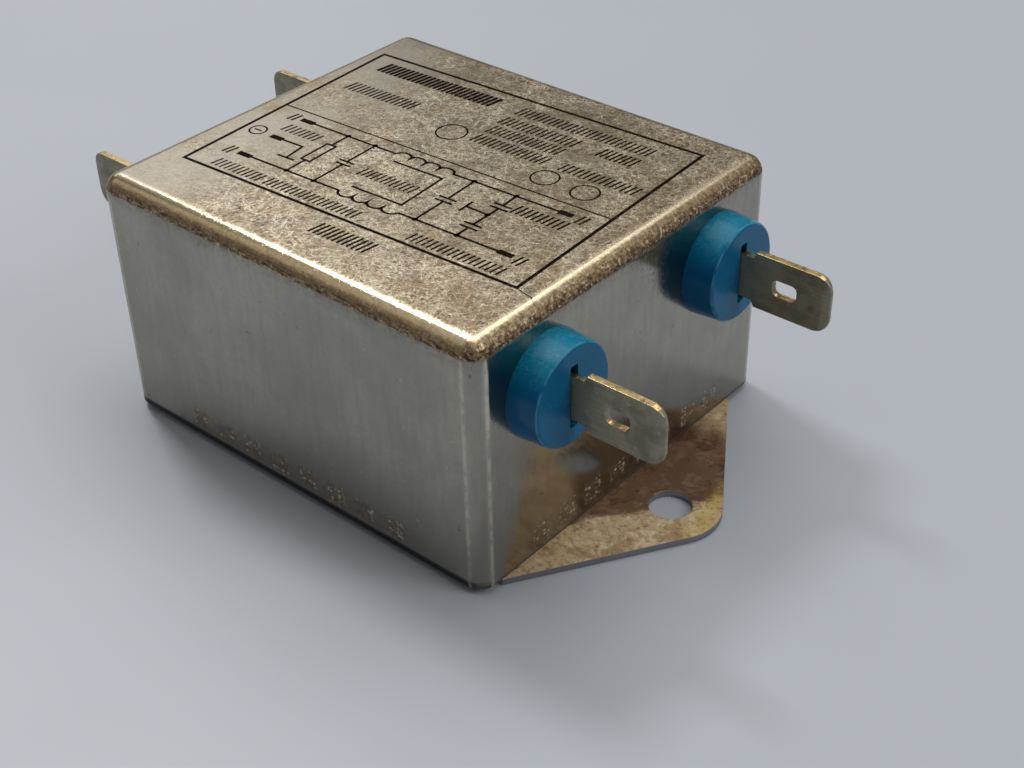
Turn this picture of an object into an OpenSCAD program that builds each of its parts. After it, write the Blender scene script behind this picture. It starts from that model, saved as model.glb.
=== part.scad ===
// Single-phase mains interference filter in a drawn sheet-metal can.
// The can stands on a flat strap with a screw ear at each end. +X points to the load end, -X to the
// line end, +Z to the roof of the can, and the origin is the middle of the strap's underside.

/* [Can] */
// Length of the can, from the line end to the load end
case_length = 51.5; // [49:0.5:62]
// Width of the can across its two long walls
case_width = 46.4; // [44:0.2:56]
// Height of the can from its rim to its roof
case_height = 28.2; // [28:0.1:36]
// Thickness of the can's sheet
case_wall = 0.5; // [0.3:0.1:0.8]
// Outside radius of the drawn edges and corners
case_radius = 2; // [1.2:0.1:3]

/* [Weld prints] */
// Prints left by the welding electrode along each wall
weld_count = 8; // [4:1:9]
// Distance from one print to the next
weld_pitch = 4.1; // [3.2:0.1:4.6]
// Height of the row of prints above the rim
weld_height = 2.2; // [2:0.1:3.5]
// Length of the three grooves in each print
weld_groove_length = 1.9; // [1:0.1:2]
// Width of each groove
weld_groove_width = 0.3; // [0.2:0.05:0.4]
// Distance from the middle of one groove to the next
weld_groove_step = 0.65; // [0.5:0.05:0.8]
// Depth of each groove in the can's outside
weld_groove_depth = 0.08; // [0.05:0.01:0.15]

/* [Cover tray] */
// Thickness of the cover tray's sheet
tray_wall = 0.5; // [0.3:0.1:0.8]
// Height of the tray's upturned flange above the rim
tray_flange = 5; // [4:0.1:7.5]
// Gap between the tray's flange and the inside of the can
tray_fit = 0.05; // [0.02:0.01:0.15]

/* [Mounting plate] */
// Thickness of the mounting plate
plate_thickness = 0.8; // [0.6:0.1:1.5]
// Width of the plate under the can
plate_width = 38.6; // [30:0.2:42]
// Distance between the two screw holes
hole_spacing = 63.5; // [62:0.1:75]
// Diameter of each screw hole
hole_diameter = 4.5; // [3.2:0.1:5.3]
// Radius of the rounded tip of each ear, about its hole
ear_radius = 5.3; // [4:0.1:5.8]
// How far the plate sits off the can's middle, towards row L
plate_offset = 1; // [0:0.1:1.5]
// Diameter of the spot welds that join the plate to the tray
spot_weld_diameter = 3; // [2:0.1:4]
// Depth of a spot weld's dimple in the plate's underside
spot_weld_depth = 0.15; // [0.05:0.01:0.3]

/* [Terminals] */
// Distance from a long wall's outside to the middle of the blades beside it
terminal_inset = 9.55; // [8:0.05:10.7]
// Distance from the roof down to the middle of the blades
terminal_drop = 8.6; // [8:0.1:9.2]
// Width of a blade's tab
blade_width = 6.3; // [4.8:0.1:6.6]
// Thickness of a blade
blade_thickness = 0.8; // [0.5:0.1:1]
// Distance from the can's wall to the tip of a blade
blade_reach = 13.8; // [12:0.1:16]
// Distance from the can's wall to the shoulders of the tab
shoulder_reach = 5.2; // [4.8:0.1:6]
// Length of the slope from the neck out to the tab's shoulders
shoulder_slope_length = 0.3; // [0.1:0.1:0.8]
// Width of the blade's neck inside its bushing
neck_width = 4.9; // [4:0.1:5.6]
// Width of the solder end inside the can
solder_end_width = 4.6; // [3.4:0.1:5]
// Length of the blade inside the can's outer face
blade_inner_length = 6.9; // [6.5:0.1:7.4]
// Diameter of the hole in the solder end
solder_hole_diameter = 1.4; // [1:0.1:1.6]
// Chamfer on the tab's two front corners
tab_chamfer = 1.5; // [0.8:0.05:1.8]
// Length of the coined bevel at the tab's tip
bevel_length = 1; // [0.5:0.1:1.4]
// Thickness left at the tab's tip
tip_thickness = 0.4; // [0.2:0.05:0.45]
// Length of the latch slot in the tab
latch_length = 2.8; // [2.4:0.1:3.6]
// Width of the latch slot
latch_width = 1.8; // [1.2:0.1:2]
// Distance from the can's wall to the middle of the latch slot
latch_reach = 8.65; // [8.2:0.05:9.6]

/* [Bushings] */
// Diameter of a bushing's flange where it meets the wall
flange_diameter = 11.2; // [9.6:0.1:11.8]
// Diameter of the flange at its front face
flange_front_diameter = 10.7; // [9:0.1:11]
// Height of the flange outside the wall
flange_height = 3.45; // [3:0.05:4.2]
// Radius round the flange's front edge
flange_rounding = 0.4; // [0.2:0.1:1]
// Diameter of the hole in the can's wall
wall_hole_diameter = 8.4; // [7.8:0.1:8.8]
// Gap between a bushing's neck and that hole
bushing_fit = 0.1; // [0.05:0.01:0.2]
// Diameter of the collar that holds the bushing behind the wall
collar_diameter = 9.2; // [9:0.1:9.8]
// Height of the collar inside the wall
collar_height = 2; // [1.4:0.1:2.4]
// Length of the mouth round the blade in the front face
mouth_length = 6.8; // [6.2:0.1:7.6]
// Width of that mouth
mouth_width = 1.1; // [1:0.05:2.2]
// Depth of that mouth
mouth_depth = 1; // [0.6:0.1:2]
// Gap between a blade and the moulding round it
blade_fit = 0.02; // [0.01:0.01:0.1]

/* [Earth terminal] */
// Distance from the can's wall to the tip of the earth blade
earth_reach = 12; // [11:0.1:13.8]
// Length of the earth blade's flat foot on the wall, with the rivet in its middle
earth_foot = 6.6; // [6:0.1:7.6]
// Inside radius of the earth blade's bend
earth_bend_radius = 0.6; // [0.3:0.1:1]
// Diameter of the rivet's shank
rivet_diameter = 2.4; // [2:0.1:3]
// Gap round the rivet's shank
rivet_fit = 0.05; // [0.02:0.01:0.15]
// Diameter of the rivet's heads
rivet_head_diameter = 4.4; // [4:0.1:5]
// Height of the rivet's outer head
rivet_head_height = 1; // [0.6:0.1:1.4]

/* [Choke] */
// Outside diameter of the ring core
core_outer_diameter = 27; // [25:0.1:28]
// Diameter of the ring core's bore
core_bore_diameter = 17; // [16.6:0.1:18]
// Radius of the ring core's edges
core_rounding = 1; // [0.5:0.1:1.5]
// Gap between the core and the wire wound on it
core_coating = 0.2; // [0.1:0.05:0.3]
// Diameter of the winding wire
wire_diameter = 1.3; // [0.9:0.1:1.3]
// Turns in each winding
turns = 12; // [6:1:12]
// Angle of the core that each winding covers
winding_angle = 132; // [120:1:136]
// Thickness of the divider between the windings
divider_thickness = 1.5; // [1:0.1:2]
// Gap between the divider and the core's bore
divider_fit = 0.05; // [0.02:0.01:0.15]
// Thickness of the insulating sheet under the choke
sheet_thickness = 0.3; // [0.1:0.05:0.5]
// Gap round the insulating sheet and over it
sheet_gap = 0.1; // [0.05:0.05:0.3]
// Gap between the windings and the wires that run over them
choke_gap = 0.4; // [0.2:0.1:1]

/* [Capacitors and resistor] */
// Length of an X capacitor
x_cap_length = 18; // [16:0.1:19]
// Thickness of an X capacitor
x_cap_thickness = 6; // [4.5:0.1:6.4]
// Height of an X capacitor
x_cap_height = 11; // [9:0.1:11.2]
// Distance between an X capacitor's wires
x_cap_pitch = 15; // [13:0.1:15.4]
// Length of a Y capacitor
y_cap_length = 13; // [12:0.1:13.6]
// Thickness of a Y capacitor
y_cap_thickness = 5; // [4:0.1:5.4]
// Height of a Y capacitor
y_cap_height = 10; // [8:0.1:11]
// Distance between a Y capacitor's wires
y_cap_pitch = 10; // [9:0.1:10.4]
// Gap between the two Y capacitors
y_cap_gap = 1; // [0.5:0.1:1.6]
// Diameter of the capacitors' wires
lead_diameter = 0.8; // [0.5:0.1:0.8]
// Radius of the capacitor boxes' edges
box_rounding = 0.6; // [0.3:0.1:1]
// Gap between a capacitor and what stands beside it
component_gap = 1.4; // [1.2:0.1:1.6]
// Diameter of the resistor's body
resistor_diameter = 2.6; // [2:0.1:2.8]
// Length of the resistor's body
resistor_length = 8; // [6:0.1:10]
// How far the resistor's end caps stand proud of its waist
resistor_cap_height = 0.2; // [0.1:0.05:0.4]
// Radius of the resistor's rounded end caps
resistor_cap_radius = 0.6; // [0.4:0.1:0.8]
// Height of the resistor above the middle of the blades
resistor_rise = 1; // [0:0.1:1.4]
// Length of the earth lead that is welded down the can's wall
earth_weld_length = 4; // [2:0.1:8]

/* [Potting] */
// Resin left between the roof and the tallest capacitor
resin_cover = 0.7; // [0.5:0.1:1]
// Gap between the resin and the wires that run through it
resin_fit = 0.05; // [0.02:0.01:0.1]

/* [Hidden] */
$fn = 64;

// The two ends and the two rows of terminals
LINE = -1;
LOAD = 1;
ROW_L = -1;
ROW_N = 1;

// Overrun of a cut past the face that it opens
cut = 0.5;

// Levels, from the floor up
rim_z = plate_thickness;
roof_z = rim_z + case_height;
inner_roof_z = roof_z - case_wall;
tray_top_z = rim_z + tray_wall;
terminal_z = roof_z - terminal_drop;
terminal_y = case_width / 2 - terminal_inset;

// Inside of the can
inner_length = case_length - 2 * case_wall;
inner_width = case_width - 2 * case_wall;
inner_radius = case_radius - case_wall;

// Inside of the tray's flange
tray_length = inner_length - 2 * tray_fit;
tray_width = inner_width - 2 * tray_fit;
tray_radius = inner_radius - tray_fit;

// Capacitors hang under the roof, with their wires down, and the resin ends level with their boxes
lead_plane_z = inner_roof_z - resin_cover - max(x_cap_height, y_cap_height);
y_lead_z = lead_plane_z - lead_diameter / 2 - resin_fit;
x_lead_z = y_lead_z - lead_diameter - resin_fit;

// Wound choke: its core is as high as the room between the insulating sheet and the wires allows
choke_floor_z = tray_top_z + sheet_thickness + sheet_gap;
choke_top_z = x_lead_z - lead_diameter / 2 - choke_gap;
choke_z = (choke_floor_z + choke_top_z) / 2;
wound_edge = core_coating + wire_diameter;
core_height = choke_top_z - choke_floor_z - 2 * wound_edge;

// Earth blade and rivet, halfway between the tray's flange and the resin
earth_z = (rim_z + tray_flange + lead_plane_z) / 2;

// Places along the can, as distances from its middle
solder_end_x = case_length / 2 - blade_inner_length;
line_x_cap_x = solder_end_x - component_gap - x_cap_thickness / 2;
y_cap_x = solder_end_x - component_gap - y_cap_thickness / 2;
load_x_cap_x = y_cap_x - y_cap_thickness / 2 - component_gap - x_cap_thickness / 2;

// Places along a solder end where wires are soldered to it
first_joint_x = solder_end_x + 0.2 * blade_inner_length;
second_joint_x = solder_end_x + 0.4 * blade_inner_length;
joint_top_z = terminal_z + 0.4 * solder_end_width;
inner_face_y = terminal_y - blade_thickness / 2 - blade_fit;
outer_face_y = terminal_y + blade_thickness / 2 + blade_fit;
lead_joint_y = inner_face_y - lead_diameter / 2;
winding_joint_y = outer_face_y + wire_diameter / 2;

// Ear: its straight sides run from the plate's corners and touch the rounded tip at this angle
ear_run = (hole_spacing - case_length) / 2;
ear_slant = norm([ear_run, plate_width / 2]);
ear_touch_angle = atan2(plate_width / 2, -ear_run) - acos(ear_radius / ear_slant);

// ---------------------------------------------------------------- shared shapes

// Rectangle with round corners, about the origin
module rounded_rectangle(length, width, radius) {
    square([length - 2 * radius, width], center = true);
    square([length, width - 2 * radius], center = true);
    for (x = [-1, 1], y = [-1, 1])
        translate([x * (length / 2 - radius), y * (width / 2 - radius)]) circle(radius);
}

// Solid form of a drawn can, standing on z = 0: round upright corners and round top edges
module drawn_block(length, width, height, radius) {
    straight_length = length - 2 * radius;
    straight_width = width - 2 * radius;
    straight_height = height - radius;
    linear_extrude(straight_height) rounded_rectangle(length, width, radius);
    translate([-straight_length / 2, -straight_width / 2, 0])
        cube([straight_length, straight_width, height]);
    for (side = [-1, 1]) {
        translate([-straight_length / 2, side * straight_width / 2, straight_height])
            rotate([0, 90, 0]) cylinder(h = straight_length, r = radius);
        translate([side * straight_length / 2, straight_width / 2, straight_height])
            rotate([90, 0, 0]) cylinder(h = straight_width, r = radius);
    }
    for (x = [-1, 1], y = [-1, 1])
        translate([x * straight_length / 2, y * straight_width / 2, straight_height]) sphere(radius);
}

// Puts a terminal piece at one end and in one row; its own +X then points out of the can
module at_terminal(end, row) {
    translate([end * case_length / 2, row * terminal_y, terminal_z])
        rotate([0, 0, end == LINE ? 180 : 0])
            children();
}

function unit(v) = v / norm(v);

// Direction of a path at each of its points, halfway between the segments that meet there
function path_directions(path) = [
    for (i = [0 : len(path) - 1])
        let (before = i == 0 ? path[1] - path[0] : path[i] - path[i - 1],
             after = i == len(path) - 1 ? before : path[i + 1] - path[i])
            unit(unit(before) + unit(after))
];

// A vector across the path at each point, carried along without twist
function path_normals(directions, start) = [
    for (i = 0, n = unit(cross(start, directions[0])); i < len(directions); i = i + 1,
         n = i < len(directions) ? unit(n - (n * directions[i]) * directions[i]) : n) n
];

// Round wire along a path of straight segments
module wire(path, diameter, start = [0.3, 1, 0.2], sides = 8) {
    directions = path_directions(path);
    normals = path_normals(directions, start);
    last = len(path) - 1;
    points = [
        for (i = [0 : last], k = [0 : sides - 1])
            let (angle = 360 * k / sides, across = cross(directions[i], normals[i]))
                path[i] + diameter / 2 * (cos(angle) * normals[i] + sin(angle) * across)
    ];
    sides_of_rings = [
        for (i = [0 : last - 1], k = [0 : sides - 1], half = [0, 1])
            let (a = i * sides + k, b = i * sides + (k + 1) % sides)
                half == 0 ? [a, a + sides, b + sides] : [a, b + sides, b]
    ];
    first_end = [[for (k = [0 : sides - 1]) k]];
    last_end = [[for (k = [sides - 1 : -1 : 0]) last * sides + k]];
    polyhedron(points, concat(sides_of_rings, first_end, last_end), convexity = 8);
}

// The same path at the other end or in the other row
function placed(path, end, row) = [for (p = path) [end * p[0], row * p[1], p[2]]];

// ---------------------------------------------------------------- can, cover and plate

// Three grooves side by side, cut into a wall whose outside is the plane y = 0
module weld_print() {
    for (i = [-1 : 1])
        translate([i * weld_groove_step, 0, rim_z + weld_height])
            cube([weld_groove_width, 2 * weld_groove_depth, weld_groove_length], center = true);
}

// A row of prints along each of the four walls
module weld_prints() {
    for (turn = [0, 90, 180, 270], i = [0 : weld_count - 1])
        rotate([0, 0, turn])
            translate([(i - (weld_count - 1) / 2) * weld_pitch,
                       (turn % 180 == 0 ? case_width : case_length) / 2, 0])
                weld_print();
}

module case() {
    color("silver")
        difference() {
            translate([0, 0, rim_z]) drawn_block(case_length, case_width, case_height, case_radius);
            translate([0, 0, rim_z - cut])
                drawn_block(inner_length, inner_width, case_height - case_wall + cut, inner_radius);
            for (end = [LINE, LOAD], row = [ROW_L, ROW_N])
                at_terminal(end, row)
                    translate([-case_wall - cut, 0, 0])
                        rotate([0, 90, 0]) cylinder(h = case_wall + 2 * cut, d = wall_hole_diameter);
            at_rivet()
                translate([0, 0, -case_wall - cut])
                    cylinder(h = case_wall + 2 * cut, d = rivet_diameter + 2 * rivet_fit);
            weld_prints();
        }
}

// Drawn pan with its open side up; its upturned flange is welded to the inside of the can
module cover_tray() {
    color("lightslategray")
        difference() {
            translate([0, 0, rim_z + tray_flange])
                mirror([0, 0, 1]) drawn_block(tray_length, tray_width, tray_flange, tray_radius);
            translate([0, 0, rim_z + tray_flange + cut])
                mirror([0, 0, 1])
                    drawn_block(tray_length - 2 * tray_wall, tray_width - 2 * tray_wall,
                                tray_flange - tray_wall + cut, tray_radius - tray_wall);
        }
}

// Outline of one ear, from the can's end wall to the rounded tip about the screw hole
module ear_outline() {
    wall_x = case_length / 2;
    touch_x = hole_spacing / 2 + ear_radius * cos(ear_touch_angle);
    touch_y = ear_radius * sin(ear_touch_angle);
    translate([hole_spacing / 2, 0]) circle(ear_radius);
    polygon([
        [wall_x - cut, -plate_width / 2], [wall_x, -plate_width / 2], [touch_x, -touch_y],
        [touch_x, touch_y], [wall_x, plate_width / 2], [wall_x - cut, plate_width / 2]
    ]);
}

module mounting_plate() {
    color("tan")
        translate([0, ROW_L * plate_offset, 0])
            difference() {
                linear_extrude(plate_thickness) {
                    square([case_length, plate_width], center = true);
                    ear_outline();
                    mirror([1, 0]) ear_outline();
                }
                for (end = [LINE, LOAD])
                    translate([end * hole_spacing / 2, 0, -cut])
                        cylinder(h = plate_thickness + 2 * cut, d = hole_diameter);
                for (x = [-1, 1], y = [-1, 1])
                    translate([x * case_length / 3, y * plate_width / 3, -cut])
                        cylinder(h = spot_weld_depth + cut, d = spot_weld_diameter);
            }
}

// ---------------------------------------------------------------- terminals

// Flange with a rounded front edge, a neck through the wall and a collar behind it, as one turned form
module bushing_body() {
    front_radius = flange_front_diameter / 2;
    rotate([0, 90, 0])
        rotate_extrude() {
            polygon([
                [0, 0], [flange_diameter / 2, 0], [front_radius, flange_height - flange_rounding],
                [front_radius - flange_rounding, flange_height], [0, flange_height]
            ]);
            intersection() {
                translate([front_radius - flange_rounding, flange_height - flange_rounding])
                    circle(flange_rounding);
                square([front_radius, flange_height]);
            }
            translate([0, -case_wall]) square([wall_hole_diameter / 2 - bushing_fit, case_wall]);
            translate([0, -case_wall - collar_height]) square([collar_diameter / 2, collar_height]);
        }
}

module bushing() {
    depth = flange_height + case_wall + collar_height;
    color("steelblue")
        difference() {
            bushing_body();
            translate([-case_wall - collar_height - cut, -blade_thickness / 2 - blade_fit,
                       -neck_width / 2 - blade_fit])
                cube([depth + 2 * cut, blade_thickness + 2 * blade_fit, neck_width + 2 * blade_fit]);
            translate([flange_height - mouth_depth, 0, 0])
                rotate([0, 90, 0])
                    linear_extrude(mouth_depth + cut)
                        rounded_rectangle(mouth_length, mouth_width, mouth_width / 4);
        }
}

// How far each point of a tab's front corner stands in from the tip and from the side, in three short cuts
corner_cut = [for (p = [[1, 0], [0.5, 0.17], [0.17, 0.5], [0, 1]]) p * tab_chamfer];

// Side view of a blade: solder end, neck in the moulding, tab with worn chamfered corners
module blade_side() {
    inner_end = -blade_inner_length;
    collar_end = -case_wall - collar_height;
    half_tab = blade_width / 2;
    upper = [
        [inner_end, solder_end_width / 2], [collar_end, solder_end_width / 2],
        [collar_end, neck_width / 2], [shoulder_reach - shoulder_slope_length, neck_width / 2],
        [shoulder_reach, half_tab],
        each [for (c = corner_cut) [blade_reach - c[0], half_tab - c[1]]]
    ];
    lower = [for (i = [len(upper) - 1 : -1 : 0]) [upper[i][0], -upper[i][1]]];
    difference() {
        polygon(concat(upper, lower));
        latch_slot();
        translate([inner_end + solder_end_width / 2, 0]) circle(d = solder_hole_diameter);
    }
}

// Slot with rounded corners that a receptacle's dimple latches into
module latch_slot() {
    translate([latch_reach, 0]) rounded_rectangle(latch_length, latch_width, latch_width / 3);
}

// Top view of a blade, with both faces bevelled towards the tip
module blade_top(inner_end, reach) {
    half = blade_thickness / 2;
    polygon([
        [inner_end, -half], [reach - bevel_length, -half], [reach, -tip_thickness / 2],
        [reach, tip_thickness / 2], [reach - bevel_length, half], [inner_end, half]
    ]);
}

module blade() {
    color("goldenrod")
        intersection() {
            translate([0, blade_width / 2, 0])
                rotate([90, 0, 0]) linear_extrude(blade_width) blade_side();
            translate([0, 0, -blade_width])
                linear_extrude(2 * blade_width) blade_top(-blade_inner_length, blade_reach);
        }
}

module line_bushing_l() { at_terminal(LINE, ROW_L) bushing(); }
module line_bushing_n() { at_terminal(LINE, ROW_N) bushing(); }
module load_bushing_l() { at_terminal(LOAD, ROW_L) bushing(); }
module load_bushing_n() { at_terminal(LOAD, ROW_N) bushing(); }

module line_blade_l() { at_terminal(LINE, ROW_L) blade(); }
module line_blade_n() { at_terminal(LINE, ROW_N) blade(); }
module load_blade_l() { at_terminal(LOAD, ROW_L) blade(); }
module load_blade_n() { at_terminal(LOAD, ROW_N) blade(); }

// Puts a piece on the line end's wall at the rivet; its own +Z then points out of the can and its
// own +X points along the wall, to the side where the earth blade stands
module at_rivet() {
    translate([-case_length / 2, 0, earth_z]) rotate([-90, 0, 0]) rotate([0, -90, 0]) children();
}

// Everything above and to the left of a corner that is rounded by the given radius
module rounded_corner_region(corner_x, corner_y, radius, size) {
    translate([corner_x - size, corner_y]) square([size - radius, size]);
    translate([corner_x - size, corner_y + radius]) square([size, size - radius]);
    translate([corner_x - radius, corner_y + radius]) circle(radius);
}

// Earth blade seen from above, out of the wall as +Y: foot on the wall, bend, bevelled tab
module earth_blade_section() {
    size = 2 * earth_foot + earth_reach;
    inner_x = earth_foot / 2 + earth_bend_radius;
    outer_x = inner_x + blade_thickness;
    middle_x = inner_x + blade_thickness / 2;
    bevel_y = earth_reach - bevel_length;
    intersection() {
        difference() {
            rounded_corner_region(outer_x, 0, earth_bend_radius + blade_thickness, size);
            rounded_corner_region(inner_x, blade_thickness, earth_bend_radius, size);
        }
        polygon([
            [-earth_foot / 2, 0], [outer_x, 0], [outer_x, bevel_y],
            [middle_x + tip_thickness / 2, earth_reach], [middle_x - tip_thickness / 2, earth_reach],
            [inner_x, bevel_y], [-earth_foot / 2, bevel_y]
        ]);
    }
}

// Earth blade seen from its side, out of the wall as +Y: chamfered corners and the latch slot
module earth_blade_side() {
    half = blade_width / 2;
    difference() {
        polygon([
            [-half, 0], [half, 0],
            each [for (c = corner_cut) [half - c[1], earth_reach - c[0]]],
            each [for (i = [len(corner_cut) - 1 : -1 : 0])
                [corner_cut[i][1] - half, earth_reach - corner_cut[i][0]]]
        ]);
        rotate(90) translate([earth_reach - blade_reach, 0]) latch_slot();
    }
}

module earth_blade() {
    foot_end = -earth_foot / 2 - cut;
    color("goldenrod")
        at_rivet()
            difference() {
                intersection() {
                    translate([0, blade_width / 2, 0])
                        rotate([90, 0, 0]) linear_extrude(blade_width) earth_blade_section();
                    translate([foot_end, 0, 0])
                        rotate([90, 0, 90]) linear_extrude(2 * earth_foot) earth_blade_side();
                }
                translate([0, 0, -cut])
                    cylinder(h = blade_thickness + 2 * cut, d = rivet_diameter + 2 * rivet_fit);
            }
}

module earth_rivet() {
    dome_radius = (pow(rivet_head_diameter / 2, 2) + pow(rivet_head_height, 2)) / (2 * rivet_head_height);
    inner_head_height = 0.8 * rivet_head_height;
    color("gainsboro")
        at_rivet() {
            translate([0, 0, -case_wall]) cylinder(h = case_wall + blade_thickness, d = rivet_diameter);
            translate([0, 0, blade_thickness])
                rotate_extrude()
                    intersection() {
                        translate([0, rivet_head_height - dome_radius]) circle(dome_radius);
                        square([rivet_head_diameter / 2, rivet_head_height]);
                    }
            translate([0, 0, -case_wall - inner_head_height])
                cylinder(h = inner_head_height, d = rivet_head_diameter);
        }
}

// ---------------------------------------------------------------- choke

module choke_core() {
    section_width = (core_outer_diameter - core_bore_diameter) / 2;
    color("dimgray")
        translate([0, 0, choke_z])
            rotate_extrude()
                translate([(core_outer_diameter + core_bore_diameter) / 4, 0])
                    rounded_rectangle(section_width, core_height, core_rounding);
}

// Steps of one turn round the core's section: three on each of its four corners
CORNER_STEPS = 3;
steps_per_turn = 4 * CORNER_STEPS;

// Place of a step on the section of the winding, measured from the middle of the core's section
function turn_offset(step) =
    let (corner = floor((step % steps_per_turn) / CORNER_STEPS),
         angle = 90 * corner + 45 * (step % CORNER_STEPS),
         bend = core_rounding + wound_edge - wire_diameter / 2,
         half_width = (core_outer_diameter - core_bore_diameter) / 4 - core_rounding,
         half_height = core_height / 2 - core_rounding,
         side_x = corner == 0 || corner == 3 ? 1 : -1,
         side_z = corner < 2 ? 1 : -1)
        [side_x * half_width + bend * cos(angle), side_z * half_height + bend * sin(angle)];

// Turns of the winding in the +Y half, from the load end to the line end
function winding_turns() = [
    for (step = [0 : turns * steps_per_turn])
        let (offset = turn_offset(step),
             angle = 90 - winding_angle / 2 + winding_angle * step / (turns * steps_per_turn),
             radius = (core_outer_diameter + core_bore_diameter) / 4 + offset[0])
            [radius * cos(angle), radius * sin(angle), choke_z + offset[1]]
];

// End of the winding wire, from the choke out to a solder end and up its outer face
function winding_end() = [
    [second_joint_x, winding_joint_y, choke_z + core_height / 4],
    [second_joint_x, winding_joint_y, joint_top_z]
];

// One winding, with its own ends soldered to the blades of its row
module choke_winding(row) {
    ends = winding_end();
    path = concat([ends[1], ends[0]], winding_turns(), placed(ends, LINE, 1));
    color("peru") wire(placed(path, 1, row), wire_diameter);
}

module choke_winding_l() { choke_winding(ROW_L); }
module choke_winding_n() { choke_winding(ROW_N); }

// Plate across the bore that keeps the two windings apart
module choke_divider() {
    color("ivory")
        translate([0, 0, choke_z - core_height / 2])
            intersection() {
                cylinder(h = core_height, d = core_bore_diameter - 2 * divider_fit);
                translate([-core_bore_diameter / 2, -divider_thickness / 2, 0])
                    cube([core_bore_diameter, divider_thickness, core_height]);
            }
}

module insulating_sheet() {
    margin = 2 * (tray_radius + sheet_gap);
    color("khaki")
        translate([0, 0, tray_top_z])
            linear_extrude(sheet_thickness)
                rounded_rectangle(tray_length - margin, tray_width - margin, tray_radius - tray_wall);
}

// ---------------------------------------------------------------- capacitors and resistor

// Box of a film capacitor, long side across the can, standing on the plane of its wires
module capacitor_box(length, thickness, height) {
    translate([-thickness / 2, 0, height / 2])
        rotate([0, 90, 0]) linear_extrude(thickness) rounded_rectangle(height, length, box_rounding);
}

// Wire of an X capacitor in the +Y half, from its box out to a solder end and up its inner face
function x_lead(x) = [
    [x, x_cap_pitch / 2, lead_plane_z + box_rounding], [x, x_cap_pitch / 2, x_lead_z],
    [second_joint_x, lead_joint_y, x_lead_z], [second_joint_x, lead_joint_y, joint_top_z]
];

module x_capacitor(end, x) {
    color("yellow") {
        translate([end * x, 0, lead_plane_z]) capacitor_box(x_cap_length, x_cap_thickness, x_cap_height);
        for (row = [ROW_L, ROW_N]) wire(placed(x_lead(x), end, row), lead_diameter);
    }
}

module x_capacitor_line() { x_capacitor(LINE, line_x_cap_x); }
module x_capacitor_load() { x_capacitor(LOAD, load_x_cap_x); }

// Middle of the Y capacitor in the +Y half, and its wire to the load end's blade
y_cap_y = (y_cap_gap + y_cap_length) / 2;
function y_lead() = [
    [y_cap_x, y_cap_y + y_cap_pitch / 2, lead_plane_z + box_rounding],
    [y_cap_x, y_cap_y + y_cap_pitch / 2, y_lead_z],
    [first_joint_x, lead_joint_y, y_lead_z], [first_joint_x, lead_joint_y, joint_top_z]
];

module y_capacitor(row) {
    inner_wire_y = y_cap_y - y_cap_pitch / 2;
    color("deepskyblue") {
        translate([y_cap_x, row * y_cap_y, lead_plane_z])
            capacitor_box(y_cap_length, y_cap_thickness, y_cap_height);
        wire(placed(y_lead(), LOAD, row), lead_diameter);
        translate([y_cap_x, row * inner_wire_y, y_lead_z - lead_diameter / 2])
            cylinder(h = lead_plane_z - y_lead_z + lead_diameter, d = lead_diameter);
    }
}

module y_capacitor_l() { y_capacitor(ROW_L); }
module y_capacitor_n() { y_capacitor(ROW_N); }

// Wire that joins the inner ends of both Y capacitors and is welded to the load end's wall
module earth_lead() {
    inner_wire_y = y_cap_y - y_cap_pitch / 2;
    run_z = y_lead_z - lead_diameter - resin_fit;
    wall_x = inner_length / 2 - lead_diameter / 2 - resin_fit;
    color("limegreen")
        wire([
            [y_cap_x, -inner_wire_y - lead_diameter, run_z], [y_cap_x, inner_wire_y, run_z],
            [wall_x, inner_wire_y, run_z], [wall_x, inner_wire_y, run_z - earth_weld_length]
        ], lead_diameter);
}

// Coated body with rounded end caps, and straight wires that end on both line blades
module bleed_resistor() {
    cap_length = resistor_length / 6;
    waist = resistor_diameter - 2 * resistor_cap_height;
    color("saddlebrown")
        translate([-first_joint_x, 0, terminal_z + resistor_rise])
            rotate([90, 0, 0]) {
                cylinder(h = 2 * inner_face_y, d = lead_diameter, center = true);
                cylinder(h = resistor_length - cap_length, d = waist, center = true);
                for (side = [-1, 1])
                    translate([0, 0, side * (resistor_length - cap_length) / 2])
                        rotate_extrude()
                            intersection() {
                                rounded_rectangle(resistor_diameter, 2 * cap_length, resistor_cap_radius);
                                translate([0, -cap_length]) square([resistor_diameter, 2 * cap_length]);
                            }
            }
}

// ---------------------------------------------------------------- potting

// Straight channel that a wire keeps open in the resin, up the side of a solder end
module wire_channel(x, y, diameter) {
    translate([x, y, lead_plane_z - cut])
        cylinder(h = joint_top_z - lead_plane_z + cut + resin_fit, d = diameter + 2 * resin_fit);
}

// Resin cast into the roof end of the can, round the capacitors and the blades' solder ends
module potting_resin() {
    color("darkslategray")
        difference() {
            translate([0, 0, lead_plane_z])
                drawn_block(inner_length, inner_width, inner_roof_z - lead_plane_z, inner_radius);
            translate([-line_x_cap_x, 0, lead_plane_z])
                capacitor_box(x_cap_length, x_cap_thickness, x_cap_height);
            translate([load_x_cap_x, 0, lead_plane_z])
                capacitor_box(x_cap_length, x_cap_thickness, x_cap_height);
            for (row = [ROW_L, ROW_N]) {
                translate([y_cap_x, row * y_cap_y, lead_plane_z])
                    capacitor_box(y_cap_length, y_cap_thickness, y_cap_height);
                wire_channel(first_joint_x, row * lead_joint_y, lead_diameter);
                for (end = [LINE, LOAD]) {
                    wire_channel(end * second_joint_x, row * lead_joint_y, lead_diameter);
                    wire_channel(end * second_joint_x, row * winding_joint_y, wire_diameter);
                    at_terminal(end, row) {
                        bushing_body();
                        blade();
                    }
                }
            }
            bleed_resistor();
        }
}

// ---------------------------------------------------------------- the nodes

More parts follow.
